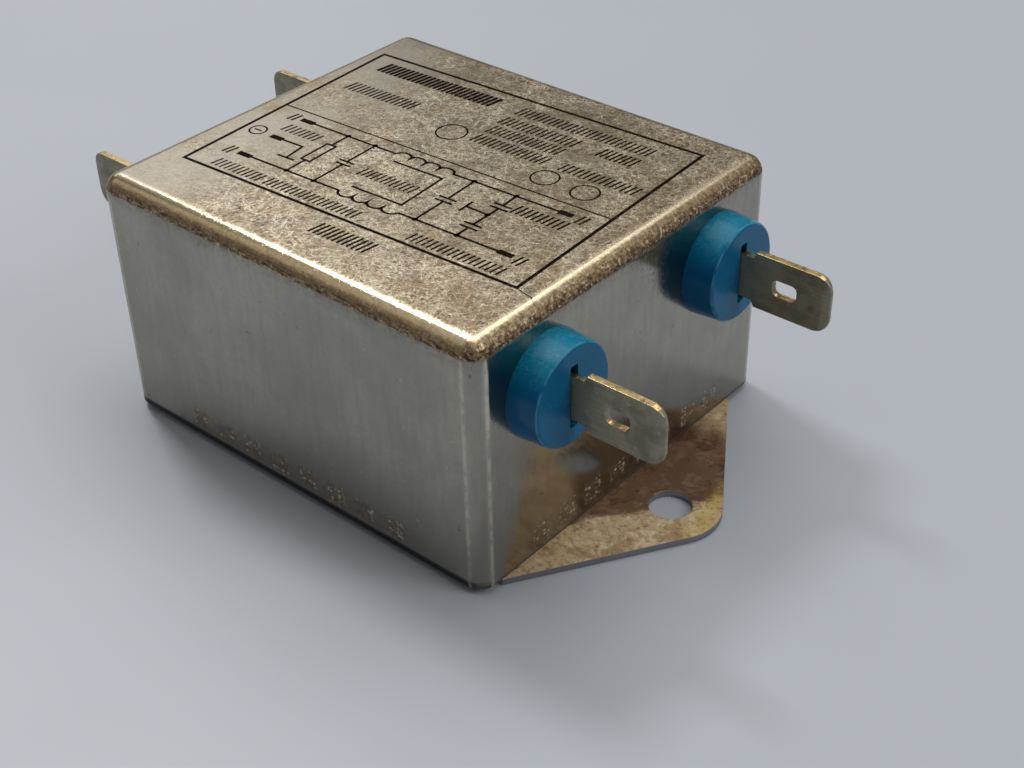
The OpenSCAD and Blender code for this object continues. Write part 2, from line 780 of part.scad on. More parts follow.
case();
cover_tray();
mounting_plate();
line_bushing_l();
line_bushing_n();
load_bushing_l();
load_bushing_n();
line_blade_l();
line_blade_n();
load_blade_l();
load_blade_n();
earth_blade();
earth_rivet();
choke_core();
choke_winding_l();
choke_winding_n();
choke_divider();
insulating_sheet();
x_capacitor_line();
x_capacitor_load();
y_capacitor_l();
y_capacitor_n();
bleed_resistor();
earth_lead();
potting_resin();
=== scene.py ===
import math

import bmesh
import bpy
import numpy as np
from mathutils import Matrix, Vector


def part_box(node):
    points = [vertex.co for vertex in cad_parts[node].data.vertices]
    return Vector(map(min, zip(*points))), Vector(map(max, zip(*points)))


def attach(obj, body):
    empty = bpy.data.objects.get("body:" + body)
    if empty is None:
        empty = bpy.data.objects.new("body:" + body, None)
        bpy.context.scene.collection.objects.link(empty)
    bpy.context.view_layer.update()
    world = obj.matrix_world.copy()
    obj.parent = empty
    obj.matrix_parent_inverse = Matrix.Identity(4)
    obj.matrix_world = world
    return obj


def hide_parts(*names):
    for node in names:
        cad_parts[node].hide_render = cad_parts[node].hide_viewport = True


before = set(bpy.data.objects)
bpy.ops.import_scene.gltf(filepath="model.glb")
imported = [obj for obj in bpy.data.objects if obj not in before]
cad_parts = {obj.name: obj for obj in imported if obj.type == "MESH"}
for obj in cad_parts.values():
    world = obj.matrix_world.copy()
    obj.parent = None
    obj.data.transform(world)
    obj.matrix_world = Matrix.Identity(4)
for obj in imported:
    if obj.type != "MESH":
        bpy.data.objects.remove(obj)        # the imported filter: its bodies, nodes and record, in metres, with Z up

bl_info = {
    "name": "Line filter finish",
    "version": (1, 0, 0),
    "blender": (4, 5, 0),
    "location": "3D View > Sidebar > Line filter",
    "description": "Finishes a mains line filter in a drawn tin-plated can and sets it on a studio floor",
    "category": "Object",
}

MM = 0.001
CASE_LOW, CASE_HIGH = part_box("case")
PLATE_LOW, PLATE_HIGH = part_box("mounting_plate")
BUSHING_LOW, BUSHING_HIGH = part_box("load_bushing_n")
BLADE_LOW, BLADE_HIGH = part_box("load_blade_n")
EARTH_LOW, EARTH_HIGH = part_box("earth_blade")

MATH = "ShaderNodeMath"
MIX = "ShaderNodeMix"
NOISE = "ShaderNodeTexNoise"
VORONOI = "ShaderNodeTexVoronoi"
RANGE = "ShaderNodeMapRange"
VECTOR = "ShaderNodeVectorMath"
SPLIT = "ShaderNodeSeparateXYZ"
JOIN = "ShaderNodeCombineXYZ"


# ---------------------------------------------------------------- colours and nodes

def linear(hex_colour):
    """An sRGB hex colour as linear red, green and blue: c / 12.92 up to 0.04045, ((c + 0.055) / 1.055) ** 2.4 above."""
    c = np.array([int(hex_colour[i:i + 2], 16) for i in (0, 2, 4)]) / 255.0
    return tuple(float(v) for v in np.where(c <= 0.04045, c / 12.92, ((c + 0.055) / 1.055) ** 2.4))


def add(tree, kind, sockets=None, **settings):
    """Adds one node. Settings are its own properties; sockets are its inputs, by name or number.
    An input given as another node's output is linked to it, and any other is set to the value."""
    made = tree.nodes.new(kind)
    for name, value in settings.items():
        setattr(made, name, value)
    for key, value in (sockets or {}).items():
        if isinstance(value, bpy.types.NodeSocket):
            tree.links.new(value, made.inputs[key])
        else:
            made.inputs[key].default_value = value
    return made


def full(colour):
    """A property's colour with an alpha of 1, as the colour sockets take it."""
    return (colour[0], colour[1], colour[2], 1.0)


def per(size_mm):
    """The texture scale at which one cell of a pattern is that many millimetres, on coordinates in metres."""
    return 1.0 / (size_mm * MM)


def new_material(name):
    """An empty node material with its output node, and the tree to fill."""
    material = bpy.data.materials.new(name)
    material.use_nodes = True
    material.node_tree.nodes.clear()
    return material, material.node_tree


def finish_material(material, surface):
    """Puts the finished shader on the material's output and lays the nodes out in columns."""
    tree = material.node_tree
    add(tree, "ShaderNodeOutputMaterial", {"Surface": surface})
    for i, made in enumerate(tree.nodes):
        made.location = (220 * (i // 6), -240 * (i % 6))
    return material


# ---------------------------------------------------------------- patterns

def object_axes(tree):
    """The object coordinates and the direction that the surface faces, whole and as x, y and z."""
    where = add(tree, "ShaderNodeTexCoord")
    place = add(tree, SPLIT, {0: where.outputs["Object"]})
    facing = add(tree, SPLIT, {0: where.outputs["Normal"]})
    return {"point": where.outputs["Object"], "x": place.outputs[0], "y": place.outputs[1], "z": place.outputs[2],
            "nx": facing.outputs[0], "ny": facing.outputs[1], "nz": facing.outputs[2]}


def clouds(tree, point, size_mm, low, high, detail=3.0, rough=0.5, warp=0.0):
    """A soft mask from noise with patches of that size: 0 where the noise is under low, 1 where it is over high."""
    noise = add(tree, NOISE, {"Vector": point, "Scale": per(size_mm), "Detail": detail, "Roughness": rough,
                              "Distortion": warp})
    return add(tree, RANGE, {0: noise.outputs[0], 1: low, 2: high}, interpolation_type="SMOOTHSTEP").outputs[0]


def band(tree, value, start, end):
    """A soft mask that goes from 0 at start to 1 at end, whichever of the two is the larger number."""
    return add(tree, RANGE, {0: value, 1: start, 2: end}, interpolation_type="SMOOTHSTEP").outputs[0]


def product(tree, *masks):
    """All the masks multiplied together."""
    result = masks[0]
    for mask in masks[1:]:
        result = add(tree, MATH, {0: result, 1: mask}, operation="MULTIPLY").outputs[0]
    return result


def summed(tree, start, terms):
    """A number built up as start plus each mask times its own weight."""
    for mask, weight in terms:
        start = add(tree, MATH, {0: mask, 1: weight, 2: start}, operation="MULTIPLY_ADD").outputs[0]
    return start


def painted(tree, base, layers):
    """Lays colours over a base one after another, each through its own mask."""
    for colour, mask in layers:
        base = add(tree, MIX, {0: mask, 6: base, 7: colour}, data_type="RGBA").outputs[2]
    return base


def stretched(tree, point, turn, sizes_mm):
    """Coordinates turned about Z and then scaled so that one unit is the given size along each axis."""
    return add(tree, "ShaderNodeMapping", {"Vector": point, "Rotation": (0, 0, turn),
                                           "Scale": tuple(s * MM for s in sizes_mm)},
               vector_type="TEXTURE").outputs[0]


def threads(tree, point, turn, sizes_mm, width, seed):
    """A tangle of thin lines that run mostly one way: 1 where a noise drawn out along that turn is at its middle
    value, and 0 where it is further off than the width."""
    lie = stretched(tree, point, turn, (sizes_mm[0], sizes_mm[1], sizes_mm[0]))
    moved = add(tree, VECTOR, {0: lie, 1: (seed, -seed, seed)}, operation="ADD").outputs[0]
    noise = add(tree, NOISE, {"Vector": moved, "Scale": 1.0, "Detail": 3.0, "Roughness": 0.65, "Distortion": 0.3})
    off = add(tree, MATH, {0: noise.outputs[0], 1: 0.5}, operation="SUBTRACT").outputs[0]
    off = add(tree, MATH, {0: off}, operation="ABSOLUTE").outputs[0]
    return band(tree, off, width, width * 0.2)


def scratches(tree, plane, cell_mm, length_mm, width_mm, share, seed):
    """Mask of short scratches, at most one in each cell of a Voronoi pattern. The offset from the cell's own point
    is turned by the cell's random angle; a scratch is where |along| is under half the length and
    |across - bend * along^2| is under half the width, both with soft ends. Share is the part of the cells used."""
    moved = add(tree, VECTOR, {0: plane, 1: (seed, seed * 0.7, 0)}, operation="ADD").outputs[0]
    cells = add(tree, VORONOI, {"Vector": moved, "Scale": per(cell_mm)}, voronoi_dimensions="2D")
    chance = add(tree, SPLIT, {0: cells.outputs["Color"]})
    offset = add(tree, VECTOR, {0: moved, 1: cells.outputs["Position"]}, operation="SUBTRACT").outputs[0]
    angle = add(tree, MATH, {0: chance.outputs[0], 1: math.tau}, operation="MULTIPLY").outputs[0]
    turned = add(tree, "ShaderNodeVectorRotate", {"Vector": offset, "Angle": angle}, rotation_type="Z_AXIS")
    part = add(tree, SPLIT, {0: turned.outputs[0]})
    along = add(tree, MATH, {0: part.outputs[0]}, operation="ABSOLUTE").outputs[0]
    square = add(tree, MATH, {0: part.outputs[0], 1: part.outputs[0]}, operation="MULTIPLY").outputs[0]
    bend = add(tree, RANGE, {0: chance.outputs[1], 3: -0.12 / (length_mm * MM), 4: 0.12 / (length_mm * MM)}).outputs[0]
    bowed = add(tree, MATH, {0: square, 1: bend, 2: part.outputs[1]}, operation="MULTIPLY_ADD").outputs[0]
    across = add(tree, MATH, {0: bowed}, operation="ABSOLUTE").outputs[0]
    used = add(tree, MATH, {0: chance.outputs[2], 1: 1.0 - share}, operation="GREATER_THAN").outputs[0]
    return product(tree, band(tree, across, width_mm * 0.5 * MM, width_mm * 0.1 * MM),
                   band(tree, along, length_mm * 0.5 * MM, length_mm * 0.25 * MM), used)


# ---------------------------------------------------------------- materials

def tinned_drawn_steel(values):
    """Deep-drawn mild steel sheet with bright tin plate, handled for years. The tin is soft: the roof is covered in
    short crossing hair scratches and dull grey patches, the rounded edges carry cream, tan and bronze tones that are
    partly worn tin and partly a painted highlight and warm reflection, and the walls keep faint upright streaks from
    the drawing die. The walls also carry painted shade at their foot and on the upright corners."""
    material, tree = new_material("steel_tinned_deep_drawn")
    at = object_axes(tree)
    roof = band(tree, at["nz"], 0.93, 0.995)
    wall = band(tree, at["nz"], 0.22, 0.03)
    flat = add(tree, MATH, {0: roof, 1: wall}, operation="ADD").outputs[0]
    shoulder = add(tree, MATH, {0: 1.0, 1: flat}, operation="SUBTRACT", use_clamp=True).outputs[0]
    far_x = add(tree, MATH, {0: at["x"]}, operation="ABSOLUTE").outputs[0]
    far_y = add(tree, MATH, {0: at["y"]}, operation="ABSOLUTE").outputs[0]
    side_x = add(tree, MATH, {0: at["nx"]}, operation="ABSOLUTE").outputs[0]
    side_y = add(tree, MATH, {0: at["ny"]}, operation="ABSOLUTE").outputs[0]
    end_wall = band(tree, side_x, 0.90, 0.99)
    run = add(tree, MATH, {0: at["x"], 1: at["y"]}, operation="ADD").outputs[0]
    unrolled = add(tree, JOIN, {0: run, 1: at["z"]}).outputs[0]

    # Roof: warm grey tin with patches a few millimetres across and dull spots under half a millimetre. At the line end
    # it is painted lighter and more silvery, a painted sheen, and fewer wear marks and patches are laid there.
    clean = product(tree, band(tree, at["x"], -8 * MM, -19 * MM), clouds(tree, at["point"], 9.0, 0.20, 0.50, 3.0))
    used = add(tree, MATH, {0: 1.0, 1: product(tree, clean, 0.75)}, operation="SUBTRACT").outputs[0]
    dull = clouds(tree, at["point"], 6.0, 0.42, 0.58, 6.0, 0.66, 0.6)
    gold = clouds(tree, at["point"], 3.2, 0.44, 0.66, 5.0, 0.68, 0.8)
    grime = clouds(tree, at["point"], 1.1, 0.48, 0.68, 4.0, 0.75)
    pits = clouds(tree, at["point"], 0.36, 0.52, 0.66, 3.0, 0.7)
    grain = clouds(tree, at["point"], 0.30, 0.38, 0.62, 2.0, 0.6)
    # Tangled hair scratches: threads about 0.15 mm wide that lie in four directions, with short straight ones
    # across them. The real ones are a third as wide.
    tangle = summed(tree, 0.0, [(threads(tree, at["point"], 0.45, (2.6, 0.60), 0.030, 0.0), 0.60),
                                (threads(tree, at["point"], 1.25, (2.0, 0.55), 0.032, 7.0), 0.60),
                                (threads(tree, at["point"], 2.05, (2.4, 0.65), 0.028, 13.0), 0.60),
                                (threads(tree, at["point"], 2.85, (3.4, 0.80), 0.022, 19.0), 0.65)])
    tangle_patch = summed(tree, 0.45, [(clouds(tree, at["point"], 5.0, 0.35, 0.62, 4.0), 0.55)])
    shade = summed(tree, 0.0, [(threads(tree, at["point"], 0.9, (1.5, 0.60), 0.045, 23.0), 0.60), (pits, 0.55), (grime, 0.35)])
    shade = add(tree, MATH, {0: shade, 1: 1.0}, operation="MINIMUM").outputs[0]
    long_marks = scratches(tree, at["point"], 8.0, 11.0, 0.10, 0.22, 0.31)
    mid_marks = scratches(tree, at["point"], 2.4, 2.4, 0.10, 0.45, 1.73)
    short_marks = scratches(tree, at["point"], 0.9, 1.0, 0.12, 0.7, 2.91)
    marks = summed(tree, 0.0, [(product(tree, tangle, tangle_patch, used), 1.0), (long_marks, 0.45),
                               (product(tree, mid_marks, used), 0.45), (product(tree, short_marks, used), 0.60)])
    marks = product(tree, marks, roof, values.scratch_strength)
    marks = add(tree, MATH, {0: marks, 1: 1.0}, operation="MINIMUM").outputs[0]
    # The tin is warmer in the last 3 mm before the rounded edge.
    over_x = add(tree, MATH, {0: far_x, 1: CASE_HIGH.x - 2 * MM}, operation="SUBTRACT").outputs[0]
    over_y = add(tree, MATH, {0: far_y, 1: CASE_HIGH.y - 2 * MM}, operation="SUBTRACT").outputs[0]
    margin = band(tree, add(tree, MATH, {0: over_x, 1: over_y}, operation="MAXIMUM").outputs[0], -3 * MM, 0.3 * MM)
    roof_colour = painted(tree, full(values.tin_colour), [
        (full(values.line_end_sheen_colour), clean),
        (full(values.dull_colour), product(tree, dull, used, 0.75)),
        (full(values.gold_colour), product(tree, gold, used, 0.55)),
        (full(values.gold_colour), product(tree, band(tree, at["x"], 2 * MM, 20 * MM), 0.45)),
        (full(values.gold_colour), product(tree, margin, used, 0.45)),
        (full(values.dull_colour), product(tree, grain, used, 0.40)),
        (full(values.grime_colour), product(tree, shade, used, 0.95)),
        (full(values.scratch_and_highlight_colour), marks)])

    # Walls: cooler grey with upright streaks of 1 mm by 9 mm from the die, and few dark and light specks.
    streak_at = add(tree, "ShaderNodeMapping", {"Vector": unrolled, "Scale": (per(1.0), per(9.0), 1.0)}).outputs[0]
    streaks = add(tree, NOISE, {"Vector": streak_at, "Scale": 1.0, "Detail": 3.0, "Roughness": 0.6}).outputs[0]
    streak = band(tree, streaks, 0.42, 0.66)
    wall_dull = clouds(tree, at["point"], 11.0, 0.35, 0.65, 3.0, 0.55, 0.4)
    wall_grain = clouds(tree, at["point"], 0.7, 0.35, 0.70, 3.0, 0.6)
    wall_speck = clouds(tree, at["point"], 0.9, 0.70, 0.78, 2.0, 0.6)
    wall_fleck = clouds(tree, at["point"], 0.6, 0.74, 0.82, 1.0, 0.5)
    # The walls are painted darker towards the foot, over their lower 13 mm: painted shade.
    low_wall_shade = band(tree, at["z"], 13 * MM, 1 * MM)
    wall_colour = painted(tree, full(values.wall_colour), [
        (full(values.wall_dull_and_shade_colour), product(tree, wall_dull, 0.45)),
        (full(values.wall_dull_and_shade_colour), product(tree, streak, 0.28)),
        (full(values.wall_dull_and_shade_colour), product(tree, wall_grain, 0.25)),
        (full(values.wall_dull_and_shade_colour), product(tree, low_wall_shade, 0.5)),
        (full(values.grime_colour), product(tree, wall_speck, 0.45)),
        (full(values.scratch_and_highlight_colour), product(tree, wall_fleck, 0.2))])

    # Shoulder: cream at the roof, then tan and bronze, and a dark brown speckle drawn out along the edge in its
    # lower half, which ends at the wall. The grading from cream to bronze by facing is partly worn tin and partly a
    # painted highlight and warm reflection. The load end's edge is dull and mottled almost up to the roof.
    flow_at = add(tree, JOIN, {0: product(tree, run, per(1.3)), 1: product(tree, at["nz"], 9.0)}).outputs[0]
    flow = add(tree, NOISE, {"Vector": flow_at, "Scale": 1.0, "Detail": 5.0, "Roughness": 0.72}).outputs[0]
    flow = band(tree, flow, 0.40, 0.62)
    speckle = clouds(tree, at["point"], 0.45, 0.40, 0.60, 4.0, 0.78)
    fleck = clouds(tree, at["point"], 0.40, 0.56, 0.68, 2.0)
    load_side = band(tree, at["nx"], 0.12, 0.50)
    tan = band(tree, at["nz"], 0.97, 0.84)
    bronze = band(tree, at["nz"], 0.86, 0.55)
    lower = band(tree, at["nz"], 0.68, 0.22)
    mottled = product(tree, load_side, band(tree, at["nz"], 0.97, 0.80), shoulder)
    patchy = summed(tree, 0.05, [(speckle, 0.50), (flow, 0.50)])
    shoulder_colour = painted(tree, full(values.edge_light_colour), [
        (full(values.edge_colour), product(tree, tan, 0.85)),
        (full(values.bronze_colour), product(tree, bronze, 0.75)),
        (full(values.edge_light_colour), product(tree, fleck, 0.35)),
        (full(values.edge_grime_colour), product(tree, lower, patchy)),
        (full(values.edge_grime_colour), product(tree, bronze, flow, 0.45)),
        (full(values.edge_grime_colour), product(tree, tan, speckle, 0.22)),
        (full(values.edge_grime_colour), product(tree, mottled, speckle, 0.60)),
        (full(values.edge_light_colour), product(tree, mottled, fleck, 0.60)),
        (full(values.scratch_and_highlight_colour), product(tree, bronze, fleck, 0.25))])
    drip = product(tree, band(tree, at["z"], CASE_HIGH.z - 3.4 * MM, CASE_HIGH.z - 1.8 * MM), wall, speckle)

    # Upright corners: the two pale lines along each bend are painted highlights, and the middle of the bend is painted
    # a little darker.
    less = add(tree, MATH, {0: side_x, 1: side_y}, operation="MINIMUM").outputs[0]
    low_part = band(tree, at["z"], CASE_HIGH.z - 1.4 * MM, CASE_HIGH.z - 2.4 * MM)
    corner_highlights = product(tree, band(tree, less, 0.05, 0.15), band(tree, less, 0.36, 0.22), low_part,
                  clouds(tree, unrolled, 1.2, 0.30, 0.6, 2.0))
    bend = product(tree, band(tree, less, 0.30, 0.60), low_part)

    # Weld prints: each is a small group of bright beads in upright rows, on tin that has flashed off brown. They
    # stand 4.1 mm apart in the middle 34 mm of each wall, and their middle is 3 mm above the floor.
    middle = add(tree, MATH, {0: far_x, 1: far_y}, operation="MINIMUM").outputs[0]
    wave = add(tree, MATH, {0: middle, 1: 2.05 * MM}, operation="PINGPONG").outputs[0]
    height_z = product(tree, band(tree, at["z"], 1.5 * MM, 2.3 * MM), band(tree, at["z"], 4.7 * MM, 3.7 * MM))
    ragged = add(tree, NOISE, {"Vector": at["point"], "Scale": per(1.1), "Detail": 3.0}).outputs[0]
    ragged_wave = add(tree, MATH, {0: ragged, 1: 1.2 * MM, 2: wave}, operation="MULTIPLY_ADD").outputs[0]
    print_zone = product(tree, band(tree, ragged_wave, 1.15 * MM, 1.85 * MM), height_z, wall,
                         band(tree, middle, 17.0 * MM, 16.3 * MM))
    strip_zone = product(tree, height_z, wall, band(tree, middle, 20.0 * MM, 14.0 * MM))
    scorch = clouds(tree, at["point"], 0.7, 0.40, 0.60, 4.0, 0.7)
    column = add(tree, MATH, {0: wave, 1: 2.05 * MM}, operation="SUBTRACT").outputs[0]
    bead_at = add(tree, JOIN, {0: product(tree, column, per(0.62)), 1: product(tree, at["z"], per(0.44)),
                               2: product(tree, run, per(4.1))}).outputs[0]
    bead = add(tree, VORONOI, {"Vector": bead_at, "Scale": 1.0, "Randomness": 0.60}).outputs["Distance"]
    beads = product(tree, print_zone, band(tree, bead, 0.52, 0.20), clouds(tree, at["point"], 1.0, 0.34, 0.50, 2.0))
    # Rim shadow line: a dark line painted along the foot of the walls, a painted shadow for the gap under the can's
    # rim. It is also made rougher and less metallic.
    rim_shadow_line = summed(tree, 0.0, [(product(tree, band(tree, at["z"], 1.75 * MM, 1.30 * MM), side_y), 1.0),
                                  (product(tree, band(tree, at["z"], 1.25 * MM, 0.95 * MM), side_x), 0.7)])
    rim_shadow_line = product(tree, rim_shadow_line, wall)
    colour = painted(tree, wall_colour, [
        (full(values.rim_shadow_colour), rim_shadow_line), (roof_colour, roof), (shoulder_colour, shoulder),
        (full(values.edge_grime_colour), product(tree, drip, 0.30)),
        (full(values.scratch_and_highlight_colour), product(tree, corner_highlights, 0.30)),
        (full(values.wall_dull_and_shade_colour), product(tree, bend, 0.25)),
        (full(values.weld_colour), product(tree, strip_zone, scorch, 0.22)),
        (full(values.weld_colour), product(tree, print_zone, summed(tree, 0.20, [(scorch, 0.45)]))),
        (full(values.bead_colour), product(tree, beads, 0.75))])

    rough = summed(tree, values.roughness, [
        (product(tree, dull, roof), 0.06), (product(tree, shade, roof, used), 0.12), (end_wall, values.mirror_gain),
        (product(tree, wall_dull, wall), 0.03), (shoulder, -0.09), (product(tree, patchy, bronze, shoulder), 0.25),
        (mottled, 0.16), (product(tree, mottled, speckle), 0.12), (print_zone, 0.12), (beads, 0.25), (rim_shadow_line, 0.3)])
    waves = add(tree, NOISE, {"Vector": at["point"], "Scale": per(16.0), "Detail": 1.0, "Roughness": 0.4}).outputs[0]
    height = summed(tree, 0.0, [
        (waves, 0.035), (marks, -0.004), (product(tree, pits, used), -0.004), (product(tree, streak, wall), 0.0004),
        (beads, 0.04), (product(tree, speckle, bronze, shoulder), -0.006), (product(tree, flow, bronze, shoulder), 0.012),
        (product(tree, mottled, fleck), 0.008)])
    bump = add(tree, "ShaderNodeBump", {"Strength": 1.0, "Distance": MM, "Height": height}).outputs[0]
    metal = summed(tree, 1.0, [(beads, -0.75), (product(tree, print_zone, scorch), -0.35), (rim_shadow_line, -0.8)])
    shader = add(tree, "ShaderNodeBsdfPrincipled",
                 {"Base Color": colour, "Metallic": metal, "Roughness": rough, "Normal": bump})
    return finish_material(material, shader.outputs[0])


def tinned_rolled_steel(values):
    """Rolled steel sheet with matt tin plate that has tarnished: a tan crust of flux and oxide, cream where it is
    thick, brown where moisture has sat, and bare grey steel on the cut edges. The crust is dull, so only part of
    the light is mirrored."""
    material, tree = new_material("steel_tinned_rolled_tarnished")
    at = object_axes(tree)
    out_x = add(tree, MATH, {0: at["x"]}, operation="ABSOLUTE").outputs[0]
    lines_at = add(tree, "ShaderNodeMapping", {"Vector": at["point"], "Scale": (per(20.0), per(0.35), per(4.0))})
    lines = add(tree, NOISE, {"Vector": lines_at.outputs[0], "Scale": 1.0, "Detail": 3.0}).outputs[0]
    stain = clouds(tree, at["point"], 4.0, 0.50, 0.62, 6.0, 0.68, 0.5)
    cream = clouds(tree, at["point"], 1.9, 0.50, 0.60, 6.0, 0.72, 0.4)
    speck = clouds(tree, at["point"], 0.8, 0.57, 0.64, 5.0, 0.72)
    freckle = clouds(tree, at["point"], 0.7, 0.48, 0.66, 4.0, 0.7)
    # Brown side: beyond a slanting line that runs from the can's wall past the screw hole, and a ragged edge to it.
    ragged = add(tree, NOISE, {"Vector": at["point"], "Scale": per(2.2), "Detail": 6.0, "Roughness": 0.7}).outputs[0]
    slant = add(tree, MATH, {0: out_x, 1: -1.33, 2: at["y"]}, operation="MULTIPLY_ADD").outputs[0]
    slant = add(tree, MATH, {0: ragged, 1: 7 * MM, 2: slant}, operation="MULTIPLY_ADD").outputs[0]
    brown = product(tree, band(tree, slant, -40.8 * MM, -39.2 * MM), band(tree, at["y"], 15 * MM, 10 * MM))
    # Yellow flux sits on the outer side of each screw hole.
    outer = product(tree, band(tree, out_x, 33.2 * MM, 34.6 * MM), band(tree, at["y"], -6 * MM, -2.5 * MM),
                    clouds(tree, at["point"], 2.4, 0.30, 0.55, 4.0))
    face = add(tree, MATH, {0: at["nz"]}, operation="ABSOLUTE").outputs[0]
    cut = band(tree, face, 0.8, 0.4)
    colour = painted(tree, full(values.plate_colour), [
        (full(values.dull_colour), product(tree, stain, 0.60)),
        (full(values.cream_colour), product(tree, cream, 0.80)),
        (full(values.stain_colour), product(tree, brown, summed(tree, 0.72, [(stain, 0.23)]))),
        (full(values.flux_colour), product(tree, outer, 0.55)),
        (full(values.dull_colour), product(tree, freckle, 0.60)),
        (full(values.dark_colour), product(tree, speck, 0.65)),
        (full(values.cut_colour), cut)])
    metal = summed(tree, 0.12, [(cut, 0.75), (brown, 0.40)])
    rough = summed(tree, 0.45, [(stain, 0.08), (cream, 0.12), (cut, -0.12), (brown, -0.12)])
    height = summed(tree, 0.0, [(lines, 0.002), (cream, 0.010), (speck, -0.008), (freckle, -0.004)])
    bump = add(tree, "ShaderNodeBump", {"Strength": 1.0, "Distance": MM, "Height": height}).outputs[0]
    shader = add(tree, "ShaderNodeBsdfPrincipled",
                 {"Base Color": colour, "Metallic": metal, "Roughness": rough, "Normal": bump})
    return finish_material(material, shader.outputs[0])


def moulded_polyester(values):
    """Injection-moulded glass-filled polyester, dyed blue right through: a satin skin with a soft highlight, a very
    fine pebble from the tool, and paler rubbed places on the parts that stand proud."""
    material, tree = new_material("polyester_moulded_blue")
    at = object_axes(tree)
    cloud = clouds(tree, at["point"], 2.5, 0.35, 0.65, 3.0)
    up = band(tree, at["nz"], 0.35, 0.95)
    rubbed = product(tree, up, clouds(tree, at["point"], 0.5, 0.50, 0.72, 4.0, 0.7))
    front = add(tree, MATH, {0: at["nx"]}, operation="ABSOLUTE").outputs[0]
    face = band(tree, front, 0.9, 0.99)
    rim = product(tree, band(tree, front, 0.25, 0.50), band(tree, front, 0.90, 0.65),
                  clouds(tree, at["point"], 1.4, 0.35, 0.55, 3.0))
    hair = product(tree, up, threads(tree, at["point"], 0.6, (0.9, 0.5), 0.030, 3.0))
    colour = painted(tree, full(values.blue_colour), [
        (full(values.blue_deep_colour), product(tree, cloud, 0.35)), (full(values.blue_deep_colour), face),
        # Upward faces are painted a lighter, greener blue: partly painted light from above and partly wear.
        (full(values.blue_top_light_and_wear_colour), product(tree, up, 0.8)),
        (full(values.blue_worn_and_highlight_colour), product(tree, rubbed, 0.35)),
        (full(values.blue_worn_and_highlight_colour), product(tree, hair, 0.30)),
        # The pale band on the rounding round each front face is a painted highlight, broken up by noise.
        (full(values.blue_worn_and_highlight_colour), product(tree, rim, 0.55))])
    pebble = add(tree, NOISE, {"Vector": at["point"], "Scale": per(0.35), "Detail": 2.0}).outputs[0]
    rough = summed(tree, 0.13, [(rubbed, 0.12), (cloud, 0.03), (face, 0.12)])
    height = summed(tree, 0.0, [(pebble, 0.006), (rubbed, 0.012), (hair, -0.006)])
    bump = add(tree, "ShaderNodeBump", {"Strength": 1.0, "Distance": MM, "Height": height}).outputs[0]
    shader = add(tree, "ShaderNodeBsdfPrincipled",
                 {"Base Color": colour, "Roughness": rough, "IOR": 1.5, "Specular IOR Level": 0.22, "Normal": bump,
                  "Subsurface Weight": 0.05, "Subsurface Scale": 0.0008})
    return finish_material(material, shader.outputs[0])


def tinned_stamped_brass(values):
    """Brass strip, tin-plated before it was stamped: dull grey-olive tin on both faces with fine lengthways
    rubbing, and bare yellow brass on every sheared edge."""
    material, tree = new_material("brass_tinned_stamped")
    at = object_axes(tree)
    lines_at = add(tree, "ShaderNodeMapping", {"Vector": at["point"], "Scale": (per(5.0), per(1.0), per(0.18))})
    lines = add(tree, NOISE, {"Vector": lines_at.outputs[0], "Scale": 1.0, "Detail": 4.0, "Roughness": 0.6}).outputs[0]
    line = band(tree, lines, 0.35, 0.7)
    tarnish = clouds(tree, at["point"], 2.4, 0.42, 0.66, 4.0, 0.6)
    speck = clouds(tree, at["point"], 0.4, 0.62, 0.70, 2.0, 0.6)
    side_y = add(tree, MATH, {0: at["ny"]}, operation="ABSOLUTE").outputs[0]
    side_x = add(tree, MATH, {0: at["nx"]}, operation="ABSOLUTE").outputs[0]
    foot = band(tree, at["x"], (CASE_LOW.x / MM - 1.8) * MM, (CASE_LOW.x / MM - 1.2) * MM)
    on_foot = product(tree, foot, side_x)
    plated = add(tree, MATH, {0: side_y, 1: on_foot}, operation="MAXIMUM").outputs[0]
    sheared = band(tree, plated, 0.80, 0.30)
    worn = add(tree, MATH, {0: sheared, 1: product(tree, speck, 0.35)}, operation="MAXIMUM").outputs[0]
    gap = product(tree, sheared, clouds(tree, at["point"], 1.3, 0.50, 0.60, 4.0, 0.75))
    spot = clouds(tree, at["point"], 1.0, 0.66, 0.74, 3.0, 0.6)
    colour = painted(tree, full(values.plating_colour), [
        (full(values.tarnish_colour), product(tree, tarnish, 0.6)),
        (full(values.tarnish_colour), product(tree, line, 0.3)),
        (full(values.gap_colour), product(tree, spot, 0.5)),
        (full(values.brass_colour), worn), (full(values.gap_colour), product(tree, gap, 0.7))])
    rough = summed(tree, 0.42, [(tarnish, 0.10), (line, 0.05), (sheared, -0.16)])
    height = summed(tree, 0.0, [(line, 0.002), (tarnish, 0.003), (product(tree, speck, sheared), -0.02)])
    bump = add(tree, "ShaderNodeBump", {"Strength": 1.0, "Distance": MM, "Height": height}).outputs[0]
    metal = summed(tree, 0.65, [(sheared, 0.35)])
    shader = add(tree, "ShaderNodeBsdfPrincipled",
                 {"Base Color": colour, "Metallic": metal, "Roughness": rough, "Normal": bump})
    return finish_material(material, shader.outputs[0])


def plated_rivet_steel(values):
    """Steel rivet with bright plating: smooth head with a few dents from setting it."""
    material, tree = new_material("steel_plated_upset")
    at = object_axes(tree)
    dull = clouds(tree, at["point"], 1.2, 0.4, 0.7, 3.0)
    dents = add(tree, NOISE, {"Vector": at["point"], "Scale": per(0.8), "Detail": 2.0}).outputs[0]
    colour = painted(tree, full(values.rivet_colour), [(full(values.rivet_dull_colour), product(tree, dull, 0.6))])
    rough = summed(tree, 0.22, [(dull, 0.15)])
    bump = add(tree, "ShaderNodeBump", {"Strength": 1.0, "Distance": MM,
                                        "Height": product(tree, dents, 0.03)}).outputs[0]
    shader = add(tree, "ShaderNodeBsdfPrincipled",
                 {"Base Color": colour, "Metallic": 1.0, "Roughness": rough, "Normal": bump})
    return finish_material(material, shader.outputs[0])


